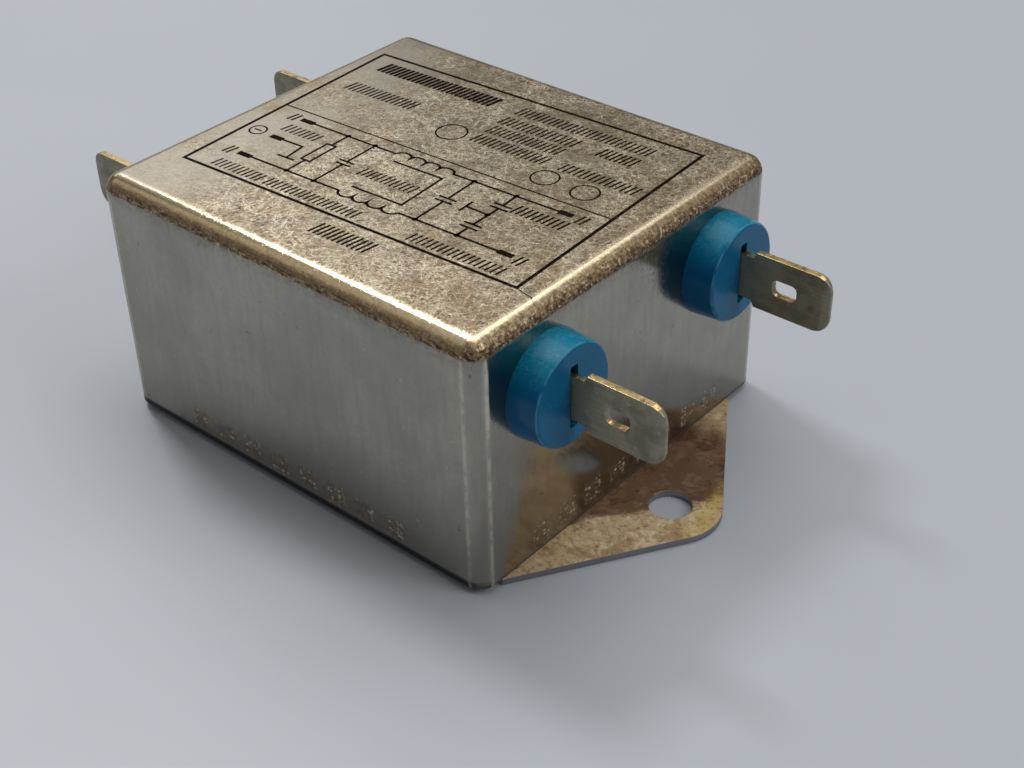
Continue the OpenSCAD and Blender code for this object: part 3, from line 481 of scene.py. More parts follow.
def screen_ink(values):
    """Screen-printed epoxy ink, dark brown-black on the tin: a flat satin film, rubbed thin in small spots where the
    tin shows through, and cut by the same hair scratches as the roof."""
    material, tree = new_material("ink_screen_printed")
    at = object_axes(tree)
    thin = clouds(tree, at["point"], 0.9, 0.56, 0.74, 4.0, 0.7)
    mid_marks = scratches(tree, at["point"], 1.9, 2.3, 0.09, 0.75, 1.73)
    long_marks = scratches(tree, at["point"], 5.5, 7.5, 0.10, 0.55, 0.31)
    rubbed = summed(tree, 0.0, [(thin, 0.45), (mid_marks, 0.35), (long_marks, 0.5)])
    rubbed = add(tree, MATH, {0: rubbed, 1: values.wear}, operation="MULTIPLY", use_clamp=True).outputs[0]
    colour = painted(tree, full(values.ink_colour), [(full(values.bare_colour), rubbed)])
    metal = band(tree, rubbed, 0.25, 0.75)
    rough = summed(tree, 0.65, [(rubbed, -0.30)])
    shader = add(tree, "ShaderNodeBsdfPrincipled",
                 {"Base Color": colour, "Metallic": metal, "Roughness": rough, "IOR": 1.4,
                  "Specular IOR Level": 0.04})
    return finish_material(material, shader.outputs[0])


def coated_ferrite(values):
    """Sintered manganese-zinc ferrite ring with a sprayed epoxy coat: dark grey, slightly orange-peeled."""
    material, tree = new_material("ferrite_epoxy_coated")
    at = object_axes(tree)
    peel = add(tree, NOISE, {"Vector": at["point"], "Scale": per(0.7), "Detail": 2.0}).outputs[0]
    spot = clouds(tree, at["point"], 1.6, 0.45, 0.7, 3.0)
    colour = painted(tree, full(values.ferrite_colour), [(full(values.ferrite_pale_colour), product(tree, spot, 0.4))])
    bump = add(tree, "ShaderNodeBump", {"Strength": 1.0, "Distance": MM,
                                        "Height": product(tree, peel, 0.02)}).outputs[0]
    rough = summed(tree, 0.5, [(spot, 0.1)])
    shader = add(tree, "ShaderNodeBsdfPrincipled",
                 {"Base Color": colour, "Roughness": rough, "IOR": 1.5, "Normal": bump})
    return finish_material(material, shader.outputs[0])


def enamelled_copper(values):
    """Copper wire with two coats of polyesterimide enamel: reddish brown, glossy, darker where the film is thick."""
    material, tree = new_material("copper_enamelled_drawn")
    at = object_axes(tree)
    thick = clouds(tree, at["point"], 1.5, 0.4, 0.65, 3.0)
    colour = painted(tree, full(values.copper_colour), [(full(values.copper_dark_colour), product(tree, thick, 0.5))])
    rough = summed(tree, 0.28, [(thick, 0.08)])
    shader = add(tree, "ShaderNodeBsdfPrincipled",
                 {"Base Color": colour, "Metallic": 1.0, "Roughness": rough, "Coat Weight": 0.6,
                  "Coat Roughness": 0.15})
    return finish_material(material, shader.outputs[0])


def plain_moulding(name, base, second, size_mm, roughness, pebble):
    """A moulded, cast, dipped or rolled plastic: one colour with slow drifts of a second and a fine pebble."""
    material, tree = new_material(name)
    at = object_axes(tree)
    drift = clouds(tree, at["point"], size_mm, 0.38, 0.66, 4.0, 0.6)
    grain = add(tree, NOISE, {"Vector": at["point"], "Scale": per(0.4), "Detail": 3.0}).outputs[0]
    colour = painted(tree, full(base), [(full(second), product(tree, drift, 0.55))])
    rough = summed(tree, roughness, [(drift, 0.08)])
    bump = add(tree, "ShaderNodeBump", {"Strength": 1.0, "Distance": MM,
                                        "Height": product(tree, grain, pebble)}).outputs[0]
    shader = add(tree, "ShaderNodeBsdfPrincipled",
                 {"Base Color": colour, "Roughness": rough, "IOR": 1.52, "Normal": bump})
    return finish_material(material, shader.outputs[0])


def lacquered_resistor(values):
    """Film resistor dipped in tan lacquer with its value as plain colour rings; the caps stay tan as well."""
    material, tree = new_material("resistor_lacquer_dipped")
    at = object_axes(tree)
    low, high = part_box("bleed_resistor")
    across = (high.y - low.y) > (high.x - low.x)
    along, start, end = (at["y"], low.y, high.y) if across else (at["x"], low.x, high.x)
    layers = []
    for place, colour in ((0.36, values.ring_one), (0.45, values.ring_two), (0.54, values.ring_three),
                          (0.66, values.ring_four)):
        middle = start + (end - start) * place
        away = add(tree, MATH, {0: along, 1: middle}, operation="SUBTRACT").outputs[0]
        away = add(tree, MATH, {0: away}, operation="ABSOLUTE").outputs[0]
        layers.append((full(colour), band(tree, away, 0.32 * MM, 0.26 * MM)))
    drift = clouds(tree, at["point"], 1.0, 0.4, 0.7, 3.0)
    colour = painted(tree, full(values.lacquer_colour), layers + [(full(values.lacquer_colour),
                                                                   product(tree, drift, 0.15))])
    rough = summed(tree, 0.3, [(drift, 0.1)])
    shader = add(tree, "ShaderNodeBsdfPrincipled", {"Base Color": colour, "Roughness": rough, "IOR": 1.5})
    return finish_material(material, shader.outputs[0])


def tinned_wire_steel(values):
    """Hot-tinned copper lead: silver, with soft ripples where the tin has run."""
    material, tree = new_material("wire_hot_tinned")
    at = object_axes(tree)
    ripple = add(tree, NOISE, {"Vector": at["point"], "Scale": per(0.9), "Detail": 2.0}).outputs[0]
    drift = clouds(tree, at["point"], 1.4, 0.4, 0.7, 3.0)
    colour = painted(tree, full(values.wire_colour), [(full(values.wire_dull_colour), product(tree, drift, 0.5))])
    rough = summed(tree, 0.24, [(drift, 0.12)])
    bump = add(tree, "ShaderNodeBump", {"Strength": 1.0, "Distance": MM,
                                        "Height": product(tree, ripple, 0.03)}).outputs[0]
    shader = add(tree, "ShaderNodeBsdfPrincipled",
                 {"Base Color": colour, "Metallic": 1.0, "Roughness": rough, "Normal": bump})
    return finish_material(material, shader.outputs[0])


def coated_table(values):
    """The studio floor: a painted sheet, one pale blue-grey, satin so that the filter's foot is faintly mirrored."""
    material, tree = new_material("floor_painted_satin")
    at = object_axes(tree)
    drift = clouds(tree, at["point"], 60.0, 0.3, 0.7, 2.0)
    colour = painted(tree, full(values.floor_colour), [(full(values.floor_second_colour), product(tree, drift, 0.3))])
    rough = summed(tree, 0.38, [(drift, 0.05)])
    shader = add(tree, "ShaderNodeBsdfPrincipled", {"Base Color": colour, "Roughness": rough, "IOR": 1.45})
    return finish_material(material, shader.outputs[0])


# ---------------------------------------------------------------- shapes

def new_piece(name, verts, faces, material, slot, smooth=False):
    """Makes a mesh object from arrays of corners (n, 3) and four-sided faces (m, 4), and rides it on the filter when a
    slot is given.
    """
    mesh = bpy.data.meshes.new(name)
    verts = np.asarray(verts, np.float32).reshape(-1, 3)
    faces = np.asarray(faces, np.int32).reshape(-1, 4)
    mesh.vertices.add(len(verts))
    mesh.vertices.foreach_set("co", verts.ravel())
    mesh.loops.add(faces.size)
    mesh.loops.foreach_set("vertex_index", faces.ravel())
    mesh.polygons.add(len(faces))
    mesh.polygons.foreach_set("loop_start", np.arange(0, faces.size, 4, dtype=np.int32))
    mesh.polygons.foreach_set("use_smooth", np.full(len(faces), smooth))
    mesh.update(calc_edges=True)
    mesh.validate()
    mesh.materials.append(material)
    piece = bpy.data.objects.new(name, mesh)
    bpy.context.scene.collection.objects.link(piece)
    if slot:
        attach(piece, "root")
    return piece


def strip(path, width, low, high, closed=False):
    """A flat ribbon: a rectangle of the width and of the height from low to high, carried along a path of (x, y)
    points. At each point the sideways offset is the mean of the two neighbouring normals, divided by the cosine
    of half the turn, so that corners stay mitred and the width stays even. Returns corners and faces."""
    path = np.asarray(path, float)
    step = np.roll(path, -1, 0) - path
    step /= np.maximum(np.linalg.norm(step, axis=1, keepdims=True), 1e-12)
    before = np.roll(step, 1, 0)
    if not closed:
        step[-1] = step[-2]
        before[0] = step[0]
    normal = np.stack([-step[:, 1], step[:, 0]], 1) + np.stack([-before[:, 1], before[:, 0]], 1)
    normal /= np.maximum((normal * normal).sum(1, keepdims=True) / 2.0, 1e-9)
    left, right = path + normal * width / 2, path - normal * width / 2
    ring = np.stack([np.c_[left, np.full(len(path), high)], np.c_[left, np.full(len(path), low)],
                     np.c_[right, np.full(len(path), low)], np.c_[right, np.full(len(path), high)]], 1)
    n = len(path)
    k = np.arange(n if closed else n - 1)[:, None]
    c = np.arange(4)[None, :]
    nxt = (k + 1) % n
    faces = np.stack([k * 4 + c, k * 4 + (c + 1) % 4, nxt * 4 + (c + 1) % 4, nxt * 4 + c], -1).reshape(-1, 4)
    if not closed:
        faces = np.vstack([faces, [[3, 2, 1, 0]], [[n * 4 - 4, n * 4 - 3, n * 4 - 2, n * 4 - 1]]])
    return ring.reshape(-1, 3), faces


def gather(parts):
    """Joins several (corners, faces) pairs into one, moving each one's face numbers past the corners before it."""
    verts, faces, count = [], [], 0
    for v, f in parts:
        verts.append(v)
        faces.append(np.asarray(f) + count)
        count += len(v)
    return np.vstack(verts), np.vstack(faces)


def circle(centre, radius, steps=40, start=0.0, sweep=math.tau):
    """Points on an arc: centre + radius * (cos t, sin t), with t in equal steps from start through sweep."""
    t = start + sweep * np.arange(steps) / (steps if abs(sweep) >= math.tau else steps - 1)
    return np.stack([centre[0] + radius * np.cos(t), centre[1] + radius * np.sin(t)], 1)


def coil(start, end, bumps, side):
    """A row of half-ellipse bumps between two points, side +1 bulging up and -1 down: for each bump t runs over
    half a turn, and a point is middle + (-half * cos t, side * 0.75 * half * sin t), in the line's own directions."""
    start, end = np.array(start, float), np.array(end, float)
    reach = end - start
    half = np.linalg.norm(reach) / bumps / 2
    ahead = reach / np.linalg.norm(reach)
    up = np.array([-ahead[1], ahead[0]]) * side
    t = np.linspace(0, math.pi, 13)
    middles = start + ahead * half * (2 * np.arange(bumps) + 1)[:, None]
    points = (middles[:, None, :] - ahead * half * np.cos(t)[None, :, None]
              + up * 0.75 * half * np.sin(t)[None, :, None])
    return points.reshape(-1, 2)[np.r_[True, np.arange(1, bumps * 13) % 13 != 0]]


def print_floors_raised(mesh):
    """Brings the floors of the can's weld grooves up to the wall: every corner less than 0.1 mm inside an outer wall,
    at the height of the prints, moves out to that wall. The material draws the prints instead, as beads."""
    place = np.empty(len(mesh.vertices) * 3)
    mesh.vertices.foreach_get("co", place)
    place = place.reshape(-1, 3)
    at_height = (place[:, 2] > 1.8 * MM) & (place[:, 2] < 4.3 * MM)
    for axis, wall in ((0, CASE_HIGH.x), (1, CASE_HIGH.y)):
        along = np.abs(place[:, 1 - axis]) < 17 * MM
        near = at_height & along & (np.abs(place[:, axis]) > wall - 0.1 * MM)
        place[near, axis] = np.sign(place[near, axis]) * wall
    mesh.vertices.foreach_set("co", place.ravel())


def merged_copy(node, name, sharp, bevel=0.0, prepare=None):
    """The node's own form as one closed skin: its loose triangles with corners closer than a micron joined, flat
    neighbours made one face, edges over the sharp angle kept hard, and cut edges rounded by the bevel width."""
    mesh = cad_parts[node].data.copy()
    mesh.name = name
    if prepare:
        prepare(mesh)
    work = bmesh.new()
    work.from_mesh(mesh)
    bmesh.ops.remove_doubles(work, verts=work.verts, dist=0.001 * MM)
    bmesh.ops.dissolve_degenerate(work, edges=work.edges, dist=0.0005 * MM)
    bmesh.ops.dissolve_limit(work, angle_limit=math.radians(0.4), verts=work.verts, edges=work.edges)
    for face in work.faces:
        face.smooth = True
    for edge in work.edges:
        edge.smooth = len(edge.link_faces) == 2 and edge.calc_face_angle() < sharp
    work.to_mesh(mesh)
    work.free()
    piece = bpy.data.objects.new(name, mesh)
    bpy.context.scene.collection.objects.link(piece)
    if bevel:
        rounding = piece.modifiers.new("cut_edges", "BEVEL")
        rounding.width = bevel
        rounding.segments = 2
        rounding.limit_method = "ANGLE"
        rounding.angle_limit = sharp
        rounding.harden_normals = False
    weighted = piece.modifiers.new("flat_faces_stay_flat", "WEIGHTED_NORMAL")
    weighted.keep_sharp = not bevel
    weighted.weight = 100
    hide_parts(node)
    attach(piece, "root")
    return piece


def dress(node, material):
    """Gives a CAD node its material on every slot, without touching its mesh."""
    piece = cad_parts[node]
    if not piece.material_slots:
        piece.data.materials.append(material)
    for slot in piece.material_slots:
        slot.material = material
    return piece


# ---------------------------------------------------------------- the printed label

LABEL_TURN = 0.047                    # radians, how far the print is turned on the roof
LABEL_ORIGIN = np.array([-21.97, -14.16]) * MM

# Ruled lines: points in millimetres on the label, from the frame's corner at the line end.
FRAME_SIZE = (43.45, 31.46)
CIRCUIT_LINES = [
    [(5.8, 13.5), (17.5, 13.4)], [(25.1, 13.4), (38.3, 13.5)], [(5.7, 4.1), (18.0, 4.1)], [(25.7, 4.1), (38.1, 4.1)],
    [(5.5, 8.85), (8.4, 8.9), (8.7, 6.2)], [(7.5, 6.1), (9.8, 6.15)],
    [(10.7, 13.5), (10.7, 10.9)], [(10.7, 6.9), (10.7, 4.1)],
    [(14.5, 13.5), (14.5, 9.1)], [(14.5, 8.45), (14.5, 4.1)], [(13.5, 9.1), (15.5, 9.1)], [(13.5, 8.45), (15.5, 8.45)],
    [(18.3, 12.0), (24.8, 12.0), (25.0, 5.5), (18.4, 5.5)],
    [(27.8, 13.5), (27.9, 9.15)], [(27.9, 8.45), (27.9, 4.1)], [(26.8, 9.15), (29.0, 9.15)], [(26.8, 8.45), (29.0, 8.45)],
    [(33.1, 13.5), (33.2, 11.2)], [(33.2, 10.5), (33.1, 6.6)], [(33.1, 5.9), (33.1, 4.1)],
    [(32.1, 11.2), (34.3, 11.2)], [(32.1, 10.5), (34.3, 10.5)], [(32.0, 6.6), (34.2, 6.6)], [(32.0, 5.9), (34.2, 5.9)],
    [(33.1, 8.9), (30.3, 9.0)], [(30.3, 10.1), (30.3, 7.9)],
]
RESISTOR_BOX = [(10.1, 6.9), (11.3, 6.9), (11.3, 10.9), (10.1, 10.9)]
COILS = [((17.5, 13.4), (25.1, 13.4), 4, 1), ((18.0, 4.1), (25.7, 4.1), 4, -1)]
THICK_BARS = [[(3.9, 13.5), (5.8, 13.5)], [(38.3, 13.5), (40.0, 13.5)], [(3.8, 4.1), (5.7, 4.1)],
              [(38.1, 4.1), (39.9, 4.1)], [(3.9, 8.8), (5.6, 8.85)]]
JOINTS = [(10.7, 13.5), (14.5, 13.5), (27.8, 13.5), (33.1, 13.5), (10.7, 4.1), (14.5, 4.1), (27.9, 4.1), (33.1, 4.1),
          (33.1, 8.9)]
RINGS = [(1.8, 9.0, 0.95), (33.1, 18.2, 1.5), (38.2, 18.0, 1.5), (19.0, 20.6, 1.7)]
# Rows of plain upright ticks that stand where a real label has words: start, end, middle, tick height, tick width.
TICK_ROWS = [
    (3.4, 9.7, 1.4, 1.25, 0.20), (10.8, 22.7, 1.4, 1.25, 0.20), (29.8, 40.6, 1.4, 1.25, 0.20),
    (17.2, 24.0, 8.5, 1.30, 0.20), (3.9, 8.4, 11.2, 1.30, 0.20), (34.7, 40.4, 11.4, 1.40, 0.22),
    (2.6, 3.2, 13.5, 1.30, 0.22), (2.3, 2.9, 4.1, 1.30, 0.22), (40.9, 41.5, 13.3, 1.30, 0.22),
    (40.6, 41.2, 3.8, 1.30, 0.22), (2.5, 18.3, 28.8, 1.90, 0.38), (2.5, 11.7, 23.0, 1.60, 0.22),
    (22.0, 38.8, 28.8, 1.50, 0.20), (21.8, 31.3, 26.0, 1.50, 0.20), (22.0, 31.0, 23.6, 1.50, 0.20),
    (21.9, 31.0, 21.1, 1.50, 0.20), (34.6, 38.7, 26.0, 1.60, 0.22), (33.3, 42.2, 21.1, 1.40, 0.20),
    (21.2, 28.0, -2.6, 1.70, 0.24),
]


def on_roof(points):
    """Label points in millimetres as roof points in metres: moved to the label's corner and turned about the
    middle of the roof."""
    p = np.asarray(points, float) * MM + LABEL_ORIGIN
    c, s = math.cos(LABEL_TURN), math.sin(LABEL_TURN)
    return np.stack([p[:, 0] * c - p[:, 1] * s, p[:, 0] * s + p[:, 1] * c], 1)


# ---------------------------------------------------------------- settings

def colour(name, text, hex_colour):
    """A colour setting with its name, description and default."""
    return bpy.props.FloatVectorProperty(name=name, description=text, subtype="COLOR", size=3, min=0.0, max=1.0,
                                         default=linear(hex_colour))


def length(name, text, millimetres):
    """A length setting in metres, given in millimetres."""
    return bpy.props.FloatProperty(name=name, description=text, unit="LENGTH", subtype="DISTANCE", min=0.0,
                                   default=millimetres * MM, precision=5)


def share(name, text, default):
    """A setting from nothing to all."""
    return bpy.props.FloatProperty(name=name, description=text, subtype="FACTOR", min=0.0, max=1.0, default=default)


class LINEFILTER_PG_can(bpy.types.PropertyGroup):
    """The drawn can"""
    tin_colour: colour("Tin", "Tin plate in the middle of the roof", "BBAA8C")
    # Painted sheen: the lighter, silvery tone at the roof's line end.
    line_end_sheen_colour: colour("Clean tin", "Silvery tin plate at the line end", "C9C1B2")
    dull_colour: colour("Dull tin", "Grey patches on the roof", "83776A")
    gold_colour: colour("Warm tin", "Golden patches on the roof", "BC9C68")
    grime_colour: colour("Grime", "Dark spots and pits", "43382E")
    # Also paints the pale lines on the upright corners, which are painted highlights.
    scratch_and_highlight_colour: colour("Scratches", "Fresh tin in the hair scratches", "F6EAD0")
    wall_colour: colour("Walls", "Tin plate on the walls", "ABA79C")
    # Also used for the painted shade at the foot of the walls, and for the darker middle of the upright corners.
    wall_dull_and_shade_colour: colour("Dull walls", "Streaks and patches on the walls", "8E8B84")
    # Painted shadow: the dark line along the foot of the walls stands for the shade in the gap under the can's rim.
    rim_shadow_colour: colour("Rim", "Dark residue along the lower rim", "1C202A")
    # The three edge tones are graded by facing: partly worn tin and partly a painted highlight and warm reflection.
    edge_light_colour: colour("Edge, upper", "Cream tone where the rounded edges meet the roof", "EBDCBC")
    edge_colour: colour("Edge, middle", "Tan tone on the rounded edges", "DAC196")
    bronze_colour: colour("Edge, lower", "Bronze tone on the lower half of the rounded edges", "C0A27A")
    edge_grime_colour: colour("Edge speckle", "Brown speckle under the rounded edges", "43302A")
    weld_colour: colour("Weld prints", "Flashed tin round the weld prints", "77604A")
    bead_colour: colour("Weld beads", "Bright beads in the weld prints", "DDD3C2")
    roughness: share("Roughness", "Roughness of the clean tin plate", 0.28)
    mirror_gain: bpy.props.FloatProperty(name="End walls", description="Change of roughness on the end walls",
                                         min=-0.3, max=0.3, default=-0.15)
    scratch_strength: share("Scratches", "How strongly the hair scratches show", 0.95)


class LINEFILTER_PG_print(bpy.types.PropertyGroup):
    """The printed label"""
    ink_colour: colour("Ink", "Dark brown-black ink", "1A0D06")
    bare_colour: colour("Bare tin", "Tin where the ink has rubbed off", "A0968A")
    wear: share("Wear", "How much of the ink is rubbed thin", 0.45)
    film: length("Film", "Thickness of the ink film", 0.008)
    frame_width: length("Frame line", "Width of the frame line", 0.40)
    line_width: length("Circuit line", "Width of the circuit lines", 0.30)
    rule_width: length("Rule", "Width of the thin rule above the circuit", 0.20)
    bar_width: length("Terminal bar", "Width of the thick terminal bars", 0.75)
    joint_radius: length("Joint", "Radius of the joint dots", 0.32)
    tick_pitch: length("Tick pitch", "Distance from one tick to the next", 0.62)
    tick_size: bpy.props.FloatProperty(name="Tick size", description="Multiplies the ticks' height and width",
                                       min=0.5, max=2.0, default=1.25)


class LINEFILTER_PG_plate(bpy.types.PropertyGroup):
    """The mounting plate and the cover tray"""
    plate_colour: colour("Plate", "Tan crust on the tin plate", "D6B98F")
    cream_colour: colour("Cream residue", "Pale flux residue", "EBD8B4")
    dull_colour: colour("Thin crust", "Browner, thinner places in the crust", "93734C")
    stain_colour: colour("Stain", "Brown stains", "6A4434")
    dark_colour: colour("Specks", "Dark specks", "4C3827")
    flux_colour: colour("Flux", "Yellow flux by the screw holes", "DDBD5E")
    cut_colour: colour("Cut edge", "Bare steel on the sheared edges", "95949A")
    edge_bevel: length("Edge rounding", "Rounding of the sheared edges", 0.07)


class LINEFILTER_PG_bushing(bpy.types.PropertyGroup):
    """The blue bushings"""
    blue_colour: colour("Blue", "Dyed polyester", "005C8C")
    blue_deep_colour: colour("Deep blue", "Front face and darker drifts", "006490")
    # Partly painted light: the tops are painted lighter as if lit from above, and partly wear.
    blue_top_light_and_wear_colour: colour("Upper blue", "Greener blue on top, where light and wear have faded it", "007C99")
    # Also paints the pale band round the front faces, a painted highlight.
    blue_worn_and_highlight_colour: colour("Worn blue", "Rubbed places on top", "58A2B2")


class LINEFILTER_PG_blade(bpy.types.PropertyGroup):
    """The blades and the earth rivet"""
    plating_colour: colour("Plating", "Dull tin on the blade faces", "A39E8A")
    tarnish_colour: colour("Tarnish", "Olive tarnish", "757160")
    brass_colour: colour("Brass", "Bare brass on sheared edges", "DCC08A")
    gap_colour: colour("Worn gaps", "Brown tarnish on the edges and in spots", "54432E")
    rivet_colour: colour("Rivet", "Bright plating", "C9C6BE")
    rivet_dull_colour: colour("Dull rivet", "Dull places on the rivet", "8E8B84")
    edge_bevel: length("Edge rounding", "Rounding of the sheared edges", 0.06)


class LINEFILTER_PG_inside(bpy.types.PropertyGroup):
    """The pieces inside the can"""
    ferrite_colour: colour("Ferrite", "Epoxy coat of the core", "2C2C2E")
    ferrite_pale_colour: colour("Pale ferrite", "Thin places in the coat", "48484A")
    copper_colour: colour("Enamelled copper", "Winding wire", "B5562A")
    copper_dark_colour: colour("Thick enamel", "Darker winding wire", "6E2C14")
    divider_colour: colour("Divider", "Moulded divider", "D8D2C0")
    divider_second_colour: colour("Divider shade", "Slow drift in the divider", "BFB8A2")
    sheet_colour: colour("Sheet", "Insulating film", "C9B98A")
    sheet_second_colour: colour("Sheet shade", "Slow drift in the film", "AE9C6A")
    x_colour: colour("Large capacitors", "Box of the capacitors across the line", "C9A227")
    x_second_colour: colour("Large capacitor shade", "Slow drift in the box", "A8841C")
    y_colour: colour("Small capacitors", "Box of the capacitors to the can", "3E7DA8")
    y_second_colour: colour("Small capacitor shade", "Slow drift in the box", "2E648C")
    lacquer_colour: colour("Lacquer", "Body of the resistor", "C8A878")
    ring_one: colour("First ring", "First ring of the resistor", "2B5CA8")
    ring_two: colour("Second ring", "Second ring of the resistor", "8A8A8C")
    ring_three: colour("Third ring", "Third ring of the resistor", "D8B820")
    ring_four: colour("Fourth ring", "Fourth ring of the resistor", "B08C3A")
    wire_colour: colour("Tinned wire", "Bright lead", "C4C2BC")
    wire_dull_colour: colour("Dull wire", "Dull places on the lead", "8C8A84")
    resin_colour: colour("Resin", "Potting resin", "2E3330")
    resin_second_colour: colour("Resin shade", "Slow drift in the resin", "1D201E")


class LINEFILTER_PG_stage(bpy.types.PropertyGroup):
    """Floor, lights and camera"""
    floor_colour: colour("Floor", "Pale blue-grey floor", "BEC3CA")
    floor_second_colour: colour("Floor shade", "Slow drift in the floor", "B6BBC3")
    floor_radius: length("Floor radius", "Radius of the round floor", 3000.0)
    sky_colour: colour("Room", "Colour of the room round the floor", "F2F0EC")
    sky_strength: bpy.props.FloatProperty(name="Room level", description="Level of the even light", default=0.15)
    light_level: bpy.props.FloatProperty(name="Light level", description="Multiplies the power of every light",
                                         default=1.0)
    camera_azimuth: bpy.props.FloatProperty(name="Azimuth", description="Camera's turn about the filter",
                                            subtype="ANGLE", default=math.radians(41.0076))
    camera_elevation: bpy.props.FloatProperty(name="Elevation", description="Camera's height angle",
                                              subtype="ANGLE", default=math.radians(35.4527))
    camera_roll: bpy.props.FloatProperty(name="Roll", description="Camera's tilt about its own axis",
                                         subtype="ANGLE", default=math.radians(-1.2792))
    camera_distance: length("Camera distance", "From the camera to the point it looks at", 183.0)
    camera_lens: bpy.props.FloatProperty(name="Lens", description="Focal length on a 36 mm sensor", unit="CAMERA",
                                         default=57.0607)


GROUPS = {"can": LINEFILTER_PG_can, "print": LINEFILTER_PG_print, "plate": LINEFILTER_PG_plate,
          "bushing": LINEFILTER_PG_bushing, "blade": LINEFILTER_PG_blade, "inside": LINEFILTER_PG_inside,
          "stage": LINEFILTER_PG_stage}


# Lights: name, direction it stands in, distance, width and height in millimetres, and power in watts. The top box
# gives the soft light, the key the small bright glints, the back panel the sheen on the roof's line end, the side
# box the light on the load end's plate and blades, and the card a faint sheen under the long rounded edge.
LIGHTS = (("top", (-0.10, 0.30, 0.95), 1000.0, 900.0, 900.0, 4.7), ("key", (-0.56, 0.15, 0.82), 620.0, 105.0, 105.0, 0.95),
          ("panel", (-0.80, 0.33, 0.50), 800.0, 560.0, 320.0, 0.40), ("side", (0.75, 0.22, 0.60), 900.0, 400.0, 400.0, 1.8),
          ("card", (-0.55, -0.45, 0.70), 700.0, 420.0, 480.0, 0.24))


def settings(context, group):
    """The scene's settings of one group."""
    return getattr(context.scene, "line_filter_" + group)


# ---------------------------------------------------------------- operators

class LINEFILTER_OT_can(bpy.types.Operator):
    """Finish the drawn can in tin-plated steel"""
    bl_idname = "line_filter.can"
    bl_label = "Can"

    def execute(self, context):
        piece = merged_copy("case", "can_shell", math.radians(28), prepare=print_floors_raised)
        piece.data.materials.clear()
        piece.data.materials.append(tinned_drawn_steel(settings(context, "can")))
        return {"FINISHED"}


class LINEFILTER_OT_print(bpy.types.Operator):
    """Print the frame, the circuit and the rows of ticks on the roof"""
    bl_idname = "line_filter.print"
    bl_label = "Printed label"

    def execute(self, context):
        values = settings(context, "print")
        ink = screen_ink(values)
        low, high = CASE_HIGH.z - 0.002 * MM, CASE_HIGH.z + values.film
        w, h = FRAME_SIZE
        corners = on_roof([(0, 0), (w, 0), (w, h), (0, h)])
        rule = on_roof([(0.2, 15.2), (w - 0.2, 15.2)])
        tail = on_roof([(w, 0), (w + 1.1, -0.35), (w + 2.2, -0.55)])
        frame_parts = [strip(corners, values.frame_width, low, high, closed=True),
                       strip(rule, values.rule_width, low, high), strip(tail, 0.12 * MM, low, high)]
        new_piece("print_frame", *gather(frame_parts), ink, "tinned_steel")

        line = values.line_width
        parts = [strip(on_roof(points), line, low, high) for points in CIRCUIT_LINES]
        parts += [strip(on_roof(coil(*shape)), line, low, high) for shape in COILS]
        parts += [strip(on_roof(RESISTOR_BOX), line, low, high, closed=True)]
        parts += [strip(on_roof(points), values.bar_width, low, high) for points in THICK_BARS]
        dot = values.joint_radius
        parts += [strip(circle(on_roof([c])[0], dot / 2, 20), dot * 0.98, low, high, closed=True) for c in JOINTS]
        parts += [strip(circle(on_roof([(x, y)])[0], radius * MM), line * 0.7, low, high, closed=True)
                  for x, y, radius in RINGS]
        parts += [strip(on_roof([(1.3, 9.0), (2.3, 9.0)]), line * 0.7, low, high)]
        new_piece("print_circuit", *gather(parts), ink, "tinned_steel")

        rows = []
        lean = 0.18
        for start, end, middle, tall, wide in TICK_ROWS:
            tall, wide = tall * values.tick_size, wide * values.tick_size
            count = max(1, int(round((end - start) * MM / values.tick_pitch)))
            for x in np.linspace(start, end, count + 1):
                ends = [(x - lean * tall / 2, middle - tall / 2), (x + lean * tall / 2, middle + tall / 2)]
                rows.append(strip(on_roof(ends), wide * MM, low, high))
        new_piece("print_ticks", *gather(rows), ink, "tinned_steel")
        return {"FINISHED"}


class LINEFILTER_OT_plate(bpy.types.Operator):
    """Finish the mounting plate and the cover tray in stained tin plate"""
    bl_idname = "line_filter.plate"
    bl_label = "Plate and tray"

    def execute(self, context):
        values = settings(context, "plate")
        steel = tinned_rolled_steel(values)
        piece = merged_copy("mounting_plate", "plate_sheet", math.radians(40), values.edge_bevel)
        piece.data.materials.clear()
        piece.data.materials.append(steel)
        dress("cover_tray", steel)
        return {"FINISHED"}


class LINEFILTER_OT_bushings(bpy.types.Operator):
    """Finish the four bushings in blue moulded polyester"""
    bl_idname = "line_filter.bushings"
    bl_label = "Bushings"

    def execute(self, context):
        blue = moulded_polyester(settings(context, "bushing"))
        for node in ("line_bushing_l", "line_bushing_n", "load_bushing_l", "load_bushing_n"):
            piece = merged_copy(node, node.replace("bushing", "moulding"), math.radians(30))
            piece.data.materials.clear()
            piece.data.materials.append(blue)
        return {"FINISHED"}


class LINEFILTER_OT_blades(bpy.types.Operator):
    """Finish the four blades, the earth blade and its rivet"""
    bl_idname = "line_filter.blades"
    bl_label = "Blades and rivet"

    def execute(self, context):
        values = settings(context, "blade")
        brass = tinned_stamped_brass(values)
        for node in ("line_blade_l", "line_blade_n", "load_blade_l", "load_blade_n", "earth_blade"):
            piece = merged_copy(node, node.replace("blade", "tab"), math.radians(25), values.edge_bevel)
            piece.data.materials.clear()
            piece.data.materials.append(brass)
        dress("earth_rivet", plated_rivet_steel(values))
        return {"FINISHED"}


